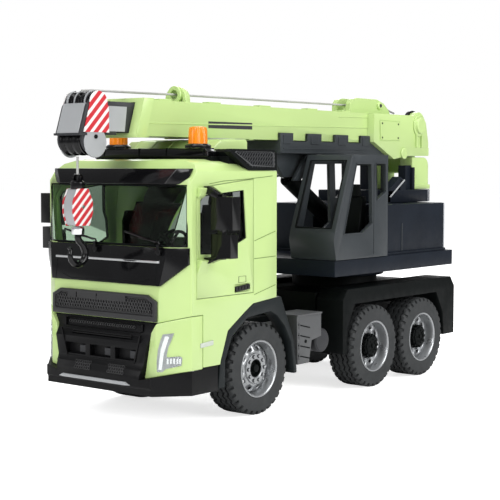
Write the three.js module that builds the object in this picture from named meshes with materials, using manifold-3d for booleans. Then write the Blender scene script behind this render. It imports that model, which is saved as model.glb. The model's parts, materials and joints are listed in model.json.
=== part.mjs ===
// Toy crane truck: a three-axle lorry with a slewing crane on its rear bogie.
// Millimetres. The truck faces -Y, its left side is +X and +Z is up. The wheels stand on z = 0.
// Parts are drawn with y = 0 on the front axle. The whole truck is then moved along Y,
// so that the origin lies under the middle of its outer box.
import * as THREE from 'three';
import { mergeVertices } from 'three/addons/utils/BufferGeometryUtils.js';
import Module from 'manifold-3d';

const wasm = await Module();
wasm.setup();

// ---- driving dimensions -------------------------------------------------------------------
const gap = 0.3;                    // clearance between neighbouring pieces
const frontEnd = -110.8;             // foremost point of the crane head and hook
const rearEnd = 271;                // rearmost point of the crane's tail

const tyreRadius = 30;
const tyreWidth = 22;
const wheelFace = 60;               // x of a tyre's outer side
const rimRadius = 18;
const wheelbase = 135.4;            // front axle to first rear axle
const bogieSpacing = 66.2;          // first to second rear axle
const kingpinX = 44;
const tieRodY = 9;                  // tie rod behind the front axle
const rearAxles = [wheelbase, wheelbase + bogieSpacing];

const cabHalf = 62;                 // half the width of the cab
const cabFront = -79.5;
const cabRear = 15;
const cabNoseHalf = 45.5;           // half the width of the flat front face
const cabCornerY = -68;             // where the front corners meet the sides
const cabWall = 3;
const floorTop = 79;
const panelBottom = 88.3;            // gloss panel below the windscreen
const glassBottom = 111.5;
const glassTop = 149;

const slewY = wheelbase + bogieSpacing / 2;     // the crane turns about the bogie's middle
const deckBottom = 83;
const deckTop = 94.5;
const deckHalf = 57;
const deckFront = 88;
const deckRear = 251;

const boomHalf = 16.5;
const boomBottom = 178.9;
const boomTop = 201.5;
const boomFront = -62;
const tailHalf = 22.5;
const boreHalf = 10.4;              // sliding bore for the inner boom
const boreBottom = 180.6;
const boreTop = 199.8;
const luffAxis = { y: 264, z: 161 };
const winchAxis = { y: 254.5, z: 195 };
const strutFoot = { y: 165, z: 118 };
const strutHead = { y: 98, z: 158 };
const headSheave = { y: -100, z: 175 };
const topSheave = { y: -95, z: 198 };
const hookY = -102;
const ropeRadius = 0.8;

// ---- materials ----------------------------------------------------------------------------
function finish(color, roughness, metalness = 0, extra = {}) {
  return new THREE.MeshStandardMaterial({ color, roughness, metalness, ...extra });
}
const lime = finish(0x9fd84a, 0.28);
const black = finish(0x111214, 0.3);
const matteBlack = finish(0x17181a, 0.6);
const slate = finish(0x3a3d45, 0.5);
const darkGrey = finish(0x44474b, 0.55);
const midGrey = finish(0x84878a, 0.5);
const silver = finish(0xb8bbbf, 0.35, 0.6);
const chrome = finish(0xdcdfe3, 0.12, 1);
const rubber = finish(0x2b2c2e, 0.85);
const amber = finish(0xff8a12, 0.2, 0, { transparent: true, opacity: 0.85 });
const clear = finish(0xdfe8e6, 0.06, 0, { transparent: true, opacity: 0.3 });
const cordGrey = finish(0xb9b9b4, 0.8);

// ---- solid helpers ------------------------------------------------------------------------
// A closed three.js geometry as a manifold solid, with its faces turned outwards.
function solidOf(geometry) {
  const bare = geometry.clone();
  for (const name of Object.keys(bare.attributes)) {
    if (name !== 'position') bare.deleteAttribute(name);
  }
  const welded = mergeVertices(bare, 1e-3);
  const at = welded.attributes.position;
  const corners = welded.index.array;
  const faces = [];
  let volume = 0;
  for (let i = 0; i < corners.length; i += 3) {
    const [a, b, c] = [corners[i], corners[i + 1], corners[i + 2]];
    if (a === b || b === c || c === a) continue;
    faces.push([a, b, c]);
    const [p, q, r] = [a, b, c].map((k) => new THREE.Vector3().fromBufferAttribute(at, k));
    volume += p.dot(q.cross(r));
  }
  if (volume < 0) faces.forEach((face) => face.reverse());
  return new wasm.Manifold(new wasm.Mesh({
    numProp: 3,
    vertProperties: new Float32Array(at.array),
    triVerts: new Uint32Array(faces.flat()),
  }));
}

function geometryOf(solid) {
  const mesh = solid.getMesh();
  const geometry = new THREE.BufferGeometry();
  geometry.setAttribute('position', new THREE.BufferAttribute(mesh.vertProperties, 3));
  geometry.setIndex(new THREE.BufferAttribute(mesh.triVerts, 1));
  const flat = geometry.toNonIndexed();
  flat.computeVertexNormals();
  return flat;
}

function join(first, ...others) {
  return others.reduce((sum, solid) => sum.add(solid), first);
}

function cut(first, ...tools) {
  return tools.reduce((rest, tool) => rest.subtract(tool), first);
}

function block([x0, x1], [y0, y1], [z0, z1]) {
  const box = new THREE.BoxGeometry(x1 - x0, y1 - y0, z1 - z0);
  return solidOf(box.translate((x0 + x1) / 2, (y0 + y1) / 2, (z0 + z1) / 2));
}

function extruded(points, depth) {
  const shape = new THREE.Shape(points.map(([u, v]) => new THREE.Vector2(u, v)));
  return new THREE.ExtrudeGeometry(shape, { depth, bevelEnabled: false });
}

// An outline of [y, z] points, drawn out along X.
function prismX(points, [x0, x1]) {
  const axes = new THREE.Matrix4().set(0, 0, 1, x0, 1, 0, 0, 0, 0, 1, 0, 0, 0, 0, 0, 1);
  return solidOf(extruded(points, x1 - x0).applyMatrix4(axes));
}

// An outline of [x, z] points, drawn out along Y.
function prismY(points, [y0, y1]) {
  const axes = new THREE.Matrix4().set(1, 0, 0, 0, 0, 0, -1, y1, 0, 1, 0, 0, 0, 0, 0, 1);
  return solidOf(extruded(points, y1 - y0).applyMatrix4(axes));
}

// An outline of [x, y] points, drawn out along Z.
function prismZ(points, [z0, z1]) {
  return solidOf(extruded(points, z1 - z0).translate(0, 0, z0));
}

function arc([u, v], radius, fromDegrees, toDegrees, steps) {
  return Array.from({ length: steps + 1 }, (_, i) => {
    const angle = THREE.MathUtils.degToRad(fromDegrees + (toDegrees - fromDegrees) * i / steps);
    return [u + radius * Math.cos(angle), v + radius * Math.sin(angle)];
  });
}

function cylinderX([y, z], radius, [x0, x1], sides = 20) {
  const round = new THREE.CylinderGeometry(radius, radius, x1 - x0, sides);
  return solidOf(round.rotateZ(-Math.PI / 2).translate((x0 + x1) / 2, y, z));
}

function cylinderY([x, z], radius, [y0, y1], sides = 16) {
  const round = new THREE.CylinderGeometry(radius, radius, y1 - y0, sides);
  return solidOf(round.translate(x, (y0 + y1) / 2, z));
}

function cylinderZ([x, y], radius, [z0, z1], sides = 20) {
  const round = new THREE.CylinderGeometry(radius, radius, z1 - z0, sides);
  return solidOf(round.rotateX(Math.PI / 2).translate(x, y, (z0 + z1) / 2));
}

// A profile of [radius, x] points, turned about the X axis. The profile closes on itself.
function turnedX(profile, [y, z], sides) {
  const points = [...profile, profile[0]].map(([radius, x]) => new THREE.Vector2(radius, x));
  return solidOf(new THREE.LatheGeometry(points, sides).rotateZ(-Math.PI / 2).translate(0, y, z));
}

// A round section swept along a curve through the points.
function swept(points, radius, steps, sides = 8) {
  const path = new THREE.CatmullRomCurve3(points.map((p) => new THREE.Vector3(...p)));
  const ring = arc([0, 0], radius, 0, 360 - 360 / sides, sides - 1);
  const shape = new THREE.Shape(ring.map(([u, v]) => new THREE.Vector2(u, v)));
  return solidOf(new THREE.ExtrudeGeometry(shape, { steps, extrudePath: path, bevelEnabled: false }));
}

function mirrored(solid) {
  return solid.mirror([1, 0, 0]);
}

function bothSides(solid) {
  return join(solid, mirrored(solid));
}

const truck = new THREE.Group();
const chassis = new THREE.Group();
const crane = new THREE.Group();
truck.add(chassis, crane);

function place(name, solid, material, group) {
  const mesh = new THREE.Mesh(geometryOf(solid), material);
  mesh.name = name;
  group.add(mesh);
}

// The left piece as drawn, and its mirror image on the right.
function placePair(name, solid, material, group) {
  place(`${name}_left`, solid, material, group);
  place(`${name}_right`, mirrored(solid), material, group);
}

// ---- chassis frame ------------------------------------------------------------------------
function chassisFrame() {
  const rails = bothSides(block([14, 20], [-62, 240], [40, 56]));
  const beams = [-60, 30, 96, 168, 232].map((y) => block([-20, 20], [y, y + 8], [42, 54]));
  const hangers = rearAxles.map((y) => bothSides(block([14, 24], [y - 8, y + 8], [22, 44])));
  const platform = block([-33, 33], [98, 246], [56, 70]);
  const ring = cylinderZ([0, slewY], 32.8, [68, 78], 36);
  const cabMount = block([-30, 30], [-50, 12], [56, 66]);
  const axleBores = rearAxles.map((y) => cylinderX([y, tyreRadius], 2.9, [-30, 30]));
  const kingBore = cylinderZ([0, slewY], 8, [30, 90], 24);
  const axleSeat = block([-30, 30], [-8, 8], [22, 40.5]);
  return cut(join(rails, ...beams, ...hangers, platform, ring, cabMount), ...axleBores, kingBore, axleSeat);
}

// The dead beam of the steered axle. It hangs from the rails and takes the king pins.
function frontAxleBeam() {
  const bar = block([-47.4, 47.4], [-4, 4], [26, 34]);
  const saddle = block([-20, 20], [-7, 7], [26, 39.7]);
  const pinHoles = bothSides(cylinderZ([kingpinX, 0], 2.3, [20, 40], 16));
  return cut(join(bar, saddle), pinHoles);
}

// A steering knuckle: two ears round the beam's end, the king pin, the arm and the stub axle.
function knuckle() {
  const ears = join(
    block([40, 51.3], [-5, 5], [34.4, 37]),
    block([40, 51.3], [-5, 5], [23, 25.6]),
    block([48.8, 51.3], [-5, 5], [23, 37]),
  );
  const kingPin = cylinderZ([kingpinX, 0], 2, [23.5, 36.5], 16);
  const arm = block([41.5, 46.5], [4, tieRodY + 2.2], [23, 24.6]);
  const tiePin = cylinderZ([kingpinX, tieRodY], 1.1, [21, 24], 12);
  const stub = cylinderX([0, tyreRadius], 2.5, [50, 57.5], 16);
  return join(ears, kingPin, arm, tiePin, stub);
}

function tieRod() {
  const bar = block([-42, 42], [tieRodY - 1, tieRodY + 1], [21, 22.7]);
  const eyes = bothSides(cylinderZ([kingpinX, tieRodY], 2.3, [21, 22.7], 16));
  const holes = bothSides(cylinderZ([kingpinX, tieRodY], 1.6, [19, 24], 12));
  return cut(join(bar, eyes), holes);
}

// ---- wheels -------------------------------------------------------------------------------
function tyre(y) {
  const inner = wheelFace - tyreWidth;
  const bead = rimRadius + gap;
  return turnedX([
    [bead, inner + 1],
    [bead, wheelFace - 1],
    [22, wheelFace],
    [27.2, wheelFace - 0.4],
    [tyreRadius, wheelFace - 3],
    [tyreRadius, inner + 3],
    [27.2, inner + 0.4],
    [22, inner],
  ], [y, tyreRadius], 28);
}

// The rim is a cup: a barrel under the tyre and a dished disc bored for the axle.
function rim(y, discBack, discFront, hubFront, bore) {
  const inner = wheelFace - tyreWidth;
  return turnedX([
    [rimRadius, inner + 1],
    [rimRadius, wheelFace - 1],
    [rimRadius - 1.8, wheelFace - 1],
    [rimRadius - 2.4, discFront - 1],
    [9.5, discFront],
    [7, hubFront],
    [bore, hubFront],
    [bore, discBack],
    [rimRadius - 2.4, discBack],
    [rimRadius - 2.4, inner + 1],
  ], [y, tyreRadius], 22);
}

function buildWheels(group) {
  placePair('front_tyre', tyre(0), rubber, group);
  placePair('front_rim', rim(0, 52, 54.5, 56.5, 2.8), silver, group);
  rearAxles.forEach((y, i) => {
    const axle = i + 1;
    placePair(`rear_tyre_${axle}`, tyre(y), rubber, group);
    placePair(`rear_rim_${axle}`, rim(y, 44.5, 48, 57, 3), silver, group);
    const journal = cylinderX([y, tyreRadius], 2.7, [-55, 55]);
    place(`rear_axle_${axle}`, journal, chrome, group);
  });
}

// ---- driver's cab -------------------------------------------------------------------------
// The cab's outer form, shrunk by an inset on the front, sides, rear and roof.
function cabHull(inset) {
  const half = cabHalf - inset;
  const rear = cabRear - inset;
  const front = cabFront + inset;
  const nose = cabNoseHalf - inset * 0.4;
  const plan = prismZ([
    [-half, rear], [-half, cabCornerY + inset * 0.5], [-nose, front],
    [nose, front], [half, cabCornerY + inset * 0.5], [half, rear],
  ], [36, 170]);
  const side = prismX([
    [front - 1, 36], [front, 84], [front + 3.6, glassBottom], [front + 10, glassTop],
    [front + 21, 163.5 - inset], [front + 30, 165.5 - inset], [rear - 8, 165 - inset],
    [rear + 1, 160 - inset], [rear + 1, 36],
  ], [-80, 80]);
  const face = prismY([
    [-half, 36], [half, 36], [half, 157 - inset], [half - 5, 161.5 - inset],
    [half - 18, 164.5 - inset], [-half + 18, 164.5 - inset], [-half + 5, 161.5 - inset],
    [-half, 157 - inset],
  ], [-90, 30]);
  return plan.intersect(side).intersect(face);
}

// Outer edge of the wheel arch, as [y, z] points. The cab side is cut back along it.
function archOutline(grow) {
  return [
    [-44 - grow, 20], [-41 - grow, 40], [-34 - grow, 58 + grow], [-18 - grow * 0.5, 68 + grow],
    [-9 - grow * 0.5, 73 + grow], [20 + grow, 75.6 + grow], [26.5 + grow, 62], [34.2 + grow, 45],
    [37.5 + grow, 26], [37.5 + grow, 20],
  ];
}

const doorOutline = [[-63.6, 80.3], [-8.9, 80.3], [-9.2, 152.2], [-57, 147.6], [-63.6, 141]];
const doorWindow = [[-60, 107], [-41, 106], [-16, 115], [-18.5, 145.3], [-56.5, 142.6], [-60, 139.5]];

function grown(points, [cy, cz], amount) {
  return points.map(([y, z]) => [y + Math.sign(y - cy) * amount, z + Math.sign(z - cz) * amount]);
}

// The headlight pod fills the front corner between the bumper and the wheel.
function headlightOutline(grow) {
  return [
    [36 - grow, 31.5 - grow], [66, 38 - grow], [66, 71 + grow], [45.5 - grow, 65.7 + grow], [41.5 - grow, 60],
  ];
}

function cornerPlan(frontY, rearY, [z0, z1]) {
  return prismZ([
    [-cabHalf, rearY], [-cabHalf, cabCornerY], [-45.5, frontY], [45.5, frontY],
    [cabHalf, cabCornerY], [cabHalf, rearY],
  ], [z0, z1]);
}

function headlightPod() {
  const body = prismY(headlightOutline(0), [-90, -58]);
  return body.intersect(cornerPlan(-82, -58, [20, 80]));
}

function cabShell() {
  const hollow = cabHull(cabWall).intersect(block([-80, 80], [-90, 30], [floorTop, 170]));
  const under = block([-58, 58], [-64, 20], [30, 74]);
  const wheelWells = bothSides(prismX(archOutline(gap), [30, 70]));
  const screenHole = block([-59.5, 59.5], [-90, -66.5], [glassBottom, glassTop]);
  const doorHoles = bothSides(prismX(grown(doorOutline, [-36, 115], gap), [57.5, 66]));
  const bumperSpace = block([-46.2, 46.2], [-95, -60], [30, 66]);
  const podSpace = bothSides(prismY(headlightOutline(gap), [-95, -57.7]));
  const skirtSpace = block([-80, 80], [-95, 20], [30, 38]);
  const rearWindow = block([-34, 34], [5, 20], [118, 146]);
  return cut(cabHull(0), hollow, under, wheelWells, screenHole, doorHoles, bumperSpace, podSpace,
    skirtSpace, rearWindow);
}

function windscreen() {
  const band = block([-59.2, 59.2], [-90, -66.8], [glassBottom + gap, glassTop - gap]);
  return cut(cabHull(0.2).intersect(band), cabHull(1.6));
}

function sunVisor() {
  const plan = prismZ([
    [-59, -62], [-59, -66.5], [-44.5, -75], [44.5, -75], [59, -66.5], [59, -62],
  ], [glassTop + 0.2, 158.7]);
  const slope = prismX([[-80, 148], [-74.5, 149.2], [-70.5, 158.7], [-60, 160], [-60, 148]], [-70, 70]);
  return cut(plan.intersect(slope), cabHull(-gap));
}

// Gloss cover below the windscreen, wrapped round both front corners.
function frontPanel() {
  const half = cabHalf - 0.8;
  const cornerRise = panelBottom + 13.1;
  const band = prismY([
    [-half, glassBottom - gap], [-half, cornerRise], [-47, panelBottom], [47, panelBottom],
    [half, cornerRise], [half, glassBottom - gap],
  ], [-95, -66.8]);
  return cut(cabHull(-1.6).intersect(band), cabHull(-gap));
}

function grille() {
  const frame = prismY([
    [-45, 66.6], [45, 66.6], [45, 79], [37.8, 82.6], [-37.8, 82.6], [-45, 79],
  ], [cabFront - 2.6, cabFront - gap]);
  const field = prismY([
    [-42.6, 70], [42.6, 70], [42.6, 77.8], [36.6, 80.8], [-36.6, 80.8], [-42.6, 77.8],
  ], [cabFront - 4, cabFront - 1.4]);
  return cut(frame, field);
}

function bumper() {
  const centre = prismX([
    [-79.2, 65.6], [-80.4, 58], [-84, 53], [-84, 41], [-87, 34], [-87, 27], [-83, 22], [-60, 22], [-60, 65.6],
  ], [-45.4, 45.4]);
  const valance = cornerPlan(-86, -44, [22, 37.6]);
  const hollow = block([-58, 58], [-58, -40], [20, 40]);
  const upperHollow = block([-40, 40], [-72, -50], [26, 60]);
  const slot = block([-26, 26], [-90, -79], [54.5, 57.5]);
  const intakes = [-22, 0, 22].map((x) => block([x - 9, x + 9], [-90, -80], [42, 49]));
  const pods = bothSides(prismY(headlightOutline(gap), [-95, -57.7]));
  return cut(join(centre, valance), hollow, upperHollow, slot, ...intakes, pods);
}

function door() {
  const panel = prismX(doorOutline, [58.8, cabHalf]);
  const recess = block([61, 66], [-27.5, -12.5], [81.6, 86.4]);
  return cut(panel, prismX(doorWindow, [50, 70]), recess);
}

// Two mirror housings held off the door by an upper and a lower arm.
function mirrorCluster() {
  const upper = block([67, 84], [-56.5, -49], [122, 142]);
  const lower = block([67, 82.5], [-56.5, -49.5], [105, 119.5]);
  const spine = block([70, 74], [-54, -50], [104, 143]);
  const armDepth = [-57.5, -53];
  const upperArm = prismY([
    [62.3, 143.5], [64, 143.5], [72, 141], [74, 143.5], [66, 148.2], [62.3, 148.2],
  ], armDepth);
  const lowerArm = prismY([
    [62.3, 101.5], [66, 101.5], [74, 104.5], [72, 106.5], [64, 105], [62.3, 105],
  ], armDepth);
  return join(upper, lower, spine, upperArm, lowerArm);
}

// Floor tray, dashboard, engine tunnel and two seats, moulded as one insert.
function cabInterior() {
  const tray = block([-57.5, 57.5], [-66, 11], [floorTop + gap, 81.5]);
  const dashboard = prismX([[-70, 81], [-70, 106], [-65, 111], [-58, 107], [-60, 81]], [-50, 50]);
  const tunnel = block([-10, 10], [-60, 8], [81, 92]);
  const cushion = prismX([[-38, 81], [-38, 95], [-12, 93], [-8, 81]], [17, 47]);
  const back = prismX([[-14, 93], [-17, 97], [-8, 135], [-2, 135], [-4, 93], [-8, 86]], [18, 46]);
  return join(tray, dashboard, tunnel, bothSides(cushion), bothSides(back));
}

function wheelArch() {
  const well = [
    [-36.6, 10], [-36.6, 40], [-30, 54], [-15, 64.5], [9, 66.5], [16, 63], [24, 55.5], [31, 44],
    [34.2, 26], [34.2, 10],
  ];
  const liner = prismX(archOutline(0), [52, cabHalf]);
  const keep = block([40, 70], [-60, 60], [23, 80]);
  return cut(liner, prismX(well, [40, 70])).intersect(keep);
}

function roofFairing() {
  const sideView = [[-26, 165.9], [-25, 169.5], [-15, 176.6], [11, 177.8], [12.5, 176], [12.5, 165.9]];
  return prismX(sideView, [-39.5, 39.5]);
}

function intakePod() {
  const pod = prismX([[-25, 166.2], [-26, 169.2], [-24, 171], [12, 171], [15, 169], [15, 165.8]], [41, 57]);
  const cheekOutline = [[-32.5, 169.2], [-30, 171], [12, 171], [15, 169], [15, 157.6], [-14, 157.6]];
  const cheek = prismX(cheekOutline, [57, 62]);
  return cut(join(pod, cheek), cabHull(-gap));
}

function lightBar() {
  return prismY([
    [-47, 166], [-45, 165.9], [45, 165.9], [47, 166], [47, 169.5], [44, 171.5], [-44, 171.5], [-47, 169.5],
  ], [-36, -27]);
}

function beacon() {
  const lens = new THREE.LatheGeometry([
    [0, 171.8], [7, 171.8], [7, 173.6], [6.3, 173.8], [5.9, 183.2], [4, 185], [0, 185.3],
  ].map(([radius, z]) => new THREE.Vector2(radius, z)), 20);
  return solidOf(lens.rotateX(Math.PI / 2).translate(35, -31.5, 0));
}

function buildCab(group) {
  place('cab_shell', cabShell(), lime, group);
  place('cab_interior', cabInterior(), matteBlack, group);
  place('windscreen', windscreen(), clear, group);
  place('sun_visor', sunVisor(), black, group);
  place('front_panel', frontPanel(), black, group);
  place('grille', grille(), darkGrey, group);
  place('bumper', bumper(), black, group);
  place('roof_fairing', roofFairing(), lime, group);
  place('light_bar', lightBar(), black, group);
  placePair('headlight', headlightPod(), lime, group);
  placePair('wheel_arch', wheelArch(), darkGrey, group);
  placePair('intake_pod', intakePod(), matteBlack, group);
  placePair('beacon', beacon(), amber, group);
  placePair('door', door(), lime, group);
  placePair('mirror', mirrorCluster(), black, group);
}

// ---- rear of the chassis ------------------------------------------------------------------
function rearFender() {
  const outer = [[97, 28], [97, 66], [103, 73.5], [247, 73.5], [253, 66], [253, 28]];
  const well = [[103, 10], [103, 46], [112, 62.5], [225, 62.5], [235, 46], [238, 10]];
  const wings = prismX(outer, [35, 58]);
  const rail = block([33.3, 35.1], [104, 246], [60, 70]);
  return cut(join(wings, rail), prismX(well, [30, 70]));
}

// Step box and round air tank, moulded in one with a bracket to the frame rail.
function stepBox() {
  const box = prismX([[44, 27], [43, 60], [71, 60], [71, 44], [60, 42], [57, 27]], [36, 57.7]);
  const tank = cylinderX([76, 40], 8, [30, 54], 24);
  const bracket = block([20.3, 50], [46, 74], [40, 52]);
  return join(box, tank, bracket);
}

function buildChassis(group) {
  place('chassis_frame', chassisFrame(), matteBlack, group);
  place('front_axle_beam', frontAxleBeam(), matteBlack, group);
  placePair('knuckle', knuckle(), matteBlack, group);
  place('tie_rod', tieRod(), chrome, group);
  placePair('rear_fender', rearFender(), matteBlack, group);
  placePair('step_box', stepBox(), midGrey, group);
}

// ---- crane superstructure -----------------------------------------------------------------
function deck() {
  const plate = block([-deckHalf, deckHalf], [deckFront, deckRear], [deckBottom, deckTop]);
  const turntable = cylinderZ([0, slewY], 38, [78.4, 84], 40);
  const kingPin = cylinderZ([0, slewY], 7.7, [58, 84], 24);
  return join(plate, turntable, kingPin);
}

const cabFrontEdge = [[88, 94.8], [85.2, 108], [86.3, 114], [107.3, 168.7]];

function craneCab() {
  const outer = [...cabFrontEdge, [154, 168.7], [154, 94.8]];
  const inner = [[91, 97], [88.5, 108], [89.7, 114], [109.6, 166], [151.5, 166], [151.5, 97]];
  const sideWindow = [[112.9, 162], [97.6, 113], [120.7, 113.2], [133, 119.5], [131, 162]];
  const quarterWindow = [[138, 162.4], [150, 162.4], [150.6, 142], [139.4, 136.5]];
  const shell = prismX(outer, [19, 58]);
  const screen = prismX([[70, 117], [92.5, 117], [110.6, 164], [70, 164]], [22.5, 54.5]);
  const rearWindow = block([24, 53], [150, 156], [124, 161]);
  const doorGap = block([57.3, 59], [135.1, 135.7], [97, 162]);
  return cut(shell, prismX(inner, [21.5, 55.5]), screen, prismX(sideWindow, [10, 70]),
    prismX(quarterWindow, [10, 70]), rearWindow, doorGap);
}

function engineHouse() {
  const plan = [
    [-53, 154.3], [53, 154.3], [53, 243.6], [47.5, 249], [-47.5, 249], [-53, 243.6],
  ];
  const strutNotch = block([-10, 10], [150, 180], [104, 140]);
  const footPin = cylinderX([strutFoot.y, strutFoot.z], 2.4, [-12, 12], 16);
  return join(cut(prismZ(plan, [deckTop + gap, 132]), strutNotch), footPin);
}

function counterweight() {
  const plan = [[-31, 190], [31, 190], [31, 256], [26, 267], [-26, 267], [-31, 256]];
  return prismZ(plan, [132.3, 142]);
}

// Foot of the boom: two cheeks on a base plate, with the luffing pin across them.
function boomPost() {
  const cheekOutline = [
    [246, 142.3], [rearEnd, 142.3], ...arc([luffAxis.y, luffAxis.z], 7, 0, 90, 6), [246, 168],
  ];
  const cheeks = bothSides(prismX(cheekOutline, [10.5, 22.2]));
  const base = block([-24, 24], [244, 271], [142.3, 146]);
  const pin = cylinderX([luffAxis.y, luffAxis.z], 2.4, [-15, 15]);
  return join(cheeks, base, pin);
}

function buildSuperstructure(group) {
  place('deck', deck(), slate, group);
  place('crane_cab', craneCab(), slate, group);
  place('engine_house', engineHouse(), slate, group);
  place('counterweight', counterweight(), slate, group);
  place('boom_post', boomPost(), lime, group);
}

// ---- lift strut ---------------------------------------------------------------------------
const strutRun = Math.hypot(strutHead.y - strutFoot.y, strutHead.z - strutFoot.z);
const strutPitch = Math.atan2(strutHead.z - strutFoot.z, strutHead.y - strutFoot.y);

// Drawn along +Y from the foot pin, then pitched up towards the boom.
function alongStrut(solid) {
  return solid.rotate([THREE.MathUtils.radToDeg(strutPitch), 0, 0]).translate([0, strutFoot.y, strutFoot.z]);
}

function liftBarrel() {
  const eye = cylinderX([0, 0], 6, [-7, 7], 20);
  const tube = cylinderY([0, 0], 6.2, [0, strutRun - 12], 24);
  const bore = cylinderY([0, 0], 4.2, [7, strutRun], 20);
  const pinHole = cylinderX([0, 0], 2.7, [-10, 10], 16);
  return alongStrut(cut(join(eye, tube), bore, pinHole));
}

function liftRod() {
  const rod = cylinderY([0, 0], 2.8, [7.5, strutRun - 2], 20);
  const eye = cylinderX([strutRun, 0], 4.2, [-4, 4], 20);
  return alongStrut(join(rod, eye));
}

// ---- boom ---------------------------------------------------------------------------------
function boomBase() {
  const beam = prismX([
    [boomFront - 7, boomBottom], [boomFront, boomTop], [192, boomTop], [192, boomBottom],
  ], [-boomHalf, boomHalf]);
  const collar = prismX([
    [boomFront - 7, boomBottom - 1], [boomFront + 0.3, boomTop + 1], [boomFront + 9, boomTop + 1],
    [boomFront + 2, boomBottom - 1],
  ], [-boomHalf - 1, boomHalf + 1]);
  const ears = arc([winchAxis.y, winchAxis.z], 9.5, 42, 130, 8);
  const tail = prismX([
    [189, 201.4], [189, 179.4], [218, 166.4], [236, 168.9], [270, 169.3], [270, 180], [266, 196],
    ...ears, [246, boomTop],
  ], [-tailHalf, tailHalf]);
  const drumWell = block([-17.5, 17.5], [240, 268], [182, 210]);
  const lug = prismX([
    [luffAxis.y - 14, 170], ...arc([luffAxis.y, luffAxis.z], 6, 180, 360, 8), [luffAxis.y + 6, 170],
  ], [-9.8, 9.8]);
  const lugBore = cylinderX([luffAxis.y, luffAxis.z], 2.7, [-20, 20]);
  const slider = block([-boreHalf, boreHalf], [-90, 105], [boreBottom, boreTop]);
  const hump = prismX([
    [176, 200], [186, 206], ...arc([206, 205.8], 8, 140, 60, 5), [234, 206], [238, 200],
  ], [-4.5, 4.5]);
  const guideLoop = cut(
    prismY([[-9, 200], [9, 200], ...arc([0, 203.5], 9, 0, 180, 12)], [-14, -9.5]),
    prismY([[-6, 201.6], [6, 201.6], ...arc([0, 203.5], 6.4, 10, 170, 10)], [-20, 0]),
  );
  const ropeHole = cylinderY([0, 208], 2.4, [170, 245], 12);
  return cut(join(cut(join(beam, tail), drumWell), collar, lug, hump, guideLoop), lugBore, slider, ropeHole);
}

// Castellated channel under the boom, with the two ears that take the strut's head.
function boomCradle() {
  const channel = prismX([
    [75, 169.6], [75, 184], [188.7, 184], [188.7, 179.1], [214, 167.6], [212, 166.6], [186, 168.6],
  ], [-19, 19]);
  const boomSpace = block([-boomHalf - gap, boomHalf + gap], [60, 230], [boomBottom - gap, 190]);
  const notches = [90, 124.5, 159.2].map((y) => block([-25, 25], [y, y + 17.5], [boomBottom - 0.7, 190]));
  const ears = bothSides(prismX([
    [82, 170], [82, 164], [92, 152.5], [104, 152.5], [118, 164], [118, 170],
  ], [5, 9]));
  return join(cut(channel, boomSpace, ...notches), ears);
}

function winchDrum() {
  const core = cylinderX([winchAxis.y, winchAxis.z], 8, [-16, 16], 20);
  const flanges = bothSides(cylinderX([winchAxis.y, winchAxis.z], 11, [14, 17], 20));
  return join(core, flanges);
}

// The sliding boom section with the crane head on its end.
function boomInner() {
  const slide = boreHalf - gap;
  const bar = block([-slide, slide], [-84, 100], [boreBottom + gap, boreTop - gap]);
  const box = prismX([[-110, 179.2], [-104, 197.4], [-79, 197.4], [-79, 179.2]], [-9.4, 9.4]);
  const cheek = prismX([
    [-110, 179.2], [-104.5, 196], ...arc([topSheave.y, topSheave.z], 6.6, 160, 20, 7),
    [-79.5, 196.5], [-79.5, 179.2], [-90, 179.2], ...arc([headSheave.y, headSheave.z + 1], 8.5, 15, -195, 14),
  ], [9.2, 10.7]);
  const topSlot = block([-5.2, 5.2], [-107, -85], [188, 210]);
  const pins = join(
    cylinderX([topSheave.y, topSheave.z], 2, [-10, 10], 12),
    cylinderX([headSheave.y, headSheave.z], 2, [-10, 10], 12),
  );
  const lowerSpace = cylinderX([headSheave.y, headSheave.z], 9.2, [-9.1, 9.1], 24);
  return join(cut(join(bar, box), topSlot, lowerSpace), bothSides(cheek), pins);
}

function sheave({ y, z }, radius, half, grooves) {
  const profile = [[2.3, -half], [2.3, half], [radius, half]];
  const pitch = 2 * half / grooves;
  for (let i = grooves - 1; i >= 0; i -= 1) {
    const middle = -half + (i + 0.5) * pitch;
    profile.push([radius, middle + pitch * 0.36], [radius - 1.5, middle], [radius, middle - pitch * 0.36]);
  }
  profile.push([radius, -half]);
  return turnedX(profile, [y, z], 16);
}

// ---- hoist rope, hook block and hook ------------------------------------------------------
const hoistRopeRoute = [
  [0, -98, 205.6], [0, -88, 206.2], [0, -50, 206.6], [0, -11, 207], [0, 60, 207.4],
  [0, 130, 207.8], [0, 190, 208], [0, 236, 208], [0, 246, 205.5], [0, 252.5, 204.2],
];

function ropeDrop() {
  return cylinderZ([0, hookY], ropeRadius, [155, 165.8], 8);
}

function hookBlock() {
  const cheekOutline = [
    [hookY - 5.5, 124], [hookY + 5.5, 124], [hookY + 8, 130], [hookY + 8, 140], [hookY + 5, 146.5],
    [hookY - 5, 146.5], [hookY - 8, 140], [hookY - 8, 130],
  ];
  const body = prismX(cheekOutline, [-4.6, 4.6]);
  const swivel = cylinderZ([0, hookY], 4.4, [146, 151], 20);
  const socket = cylinderZ([0, hookY], 2.6, [150, 154.7], 16);
  const shankBore = cylinderZ([0, hookY], 2.2, [120, 132], 16);
  return cut(join(body, swivel, socket), shankBore);
}

function hook() {
  const shank = cylinderZ([0, hookY], 1.9, [113, 131], 16);
  const collar = cylinderZ([0, hookY], 4, [118.5, 123.6], 20);
  const bow = swept([
    [0, hookY, 116], [0, hookY + 3.4, 112.2], [0, hookY + 6, 107], [0, hookY + 3.6, 101.8],
    [0, hookY - 1.6, 100.2], [0, hookY - 6, 103.4], [0, hookY - 6.8, 108.4],
  ], 2.1, 14, 8);
  return join(shank, collar, bow);
}

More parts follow.
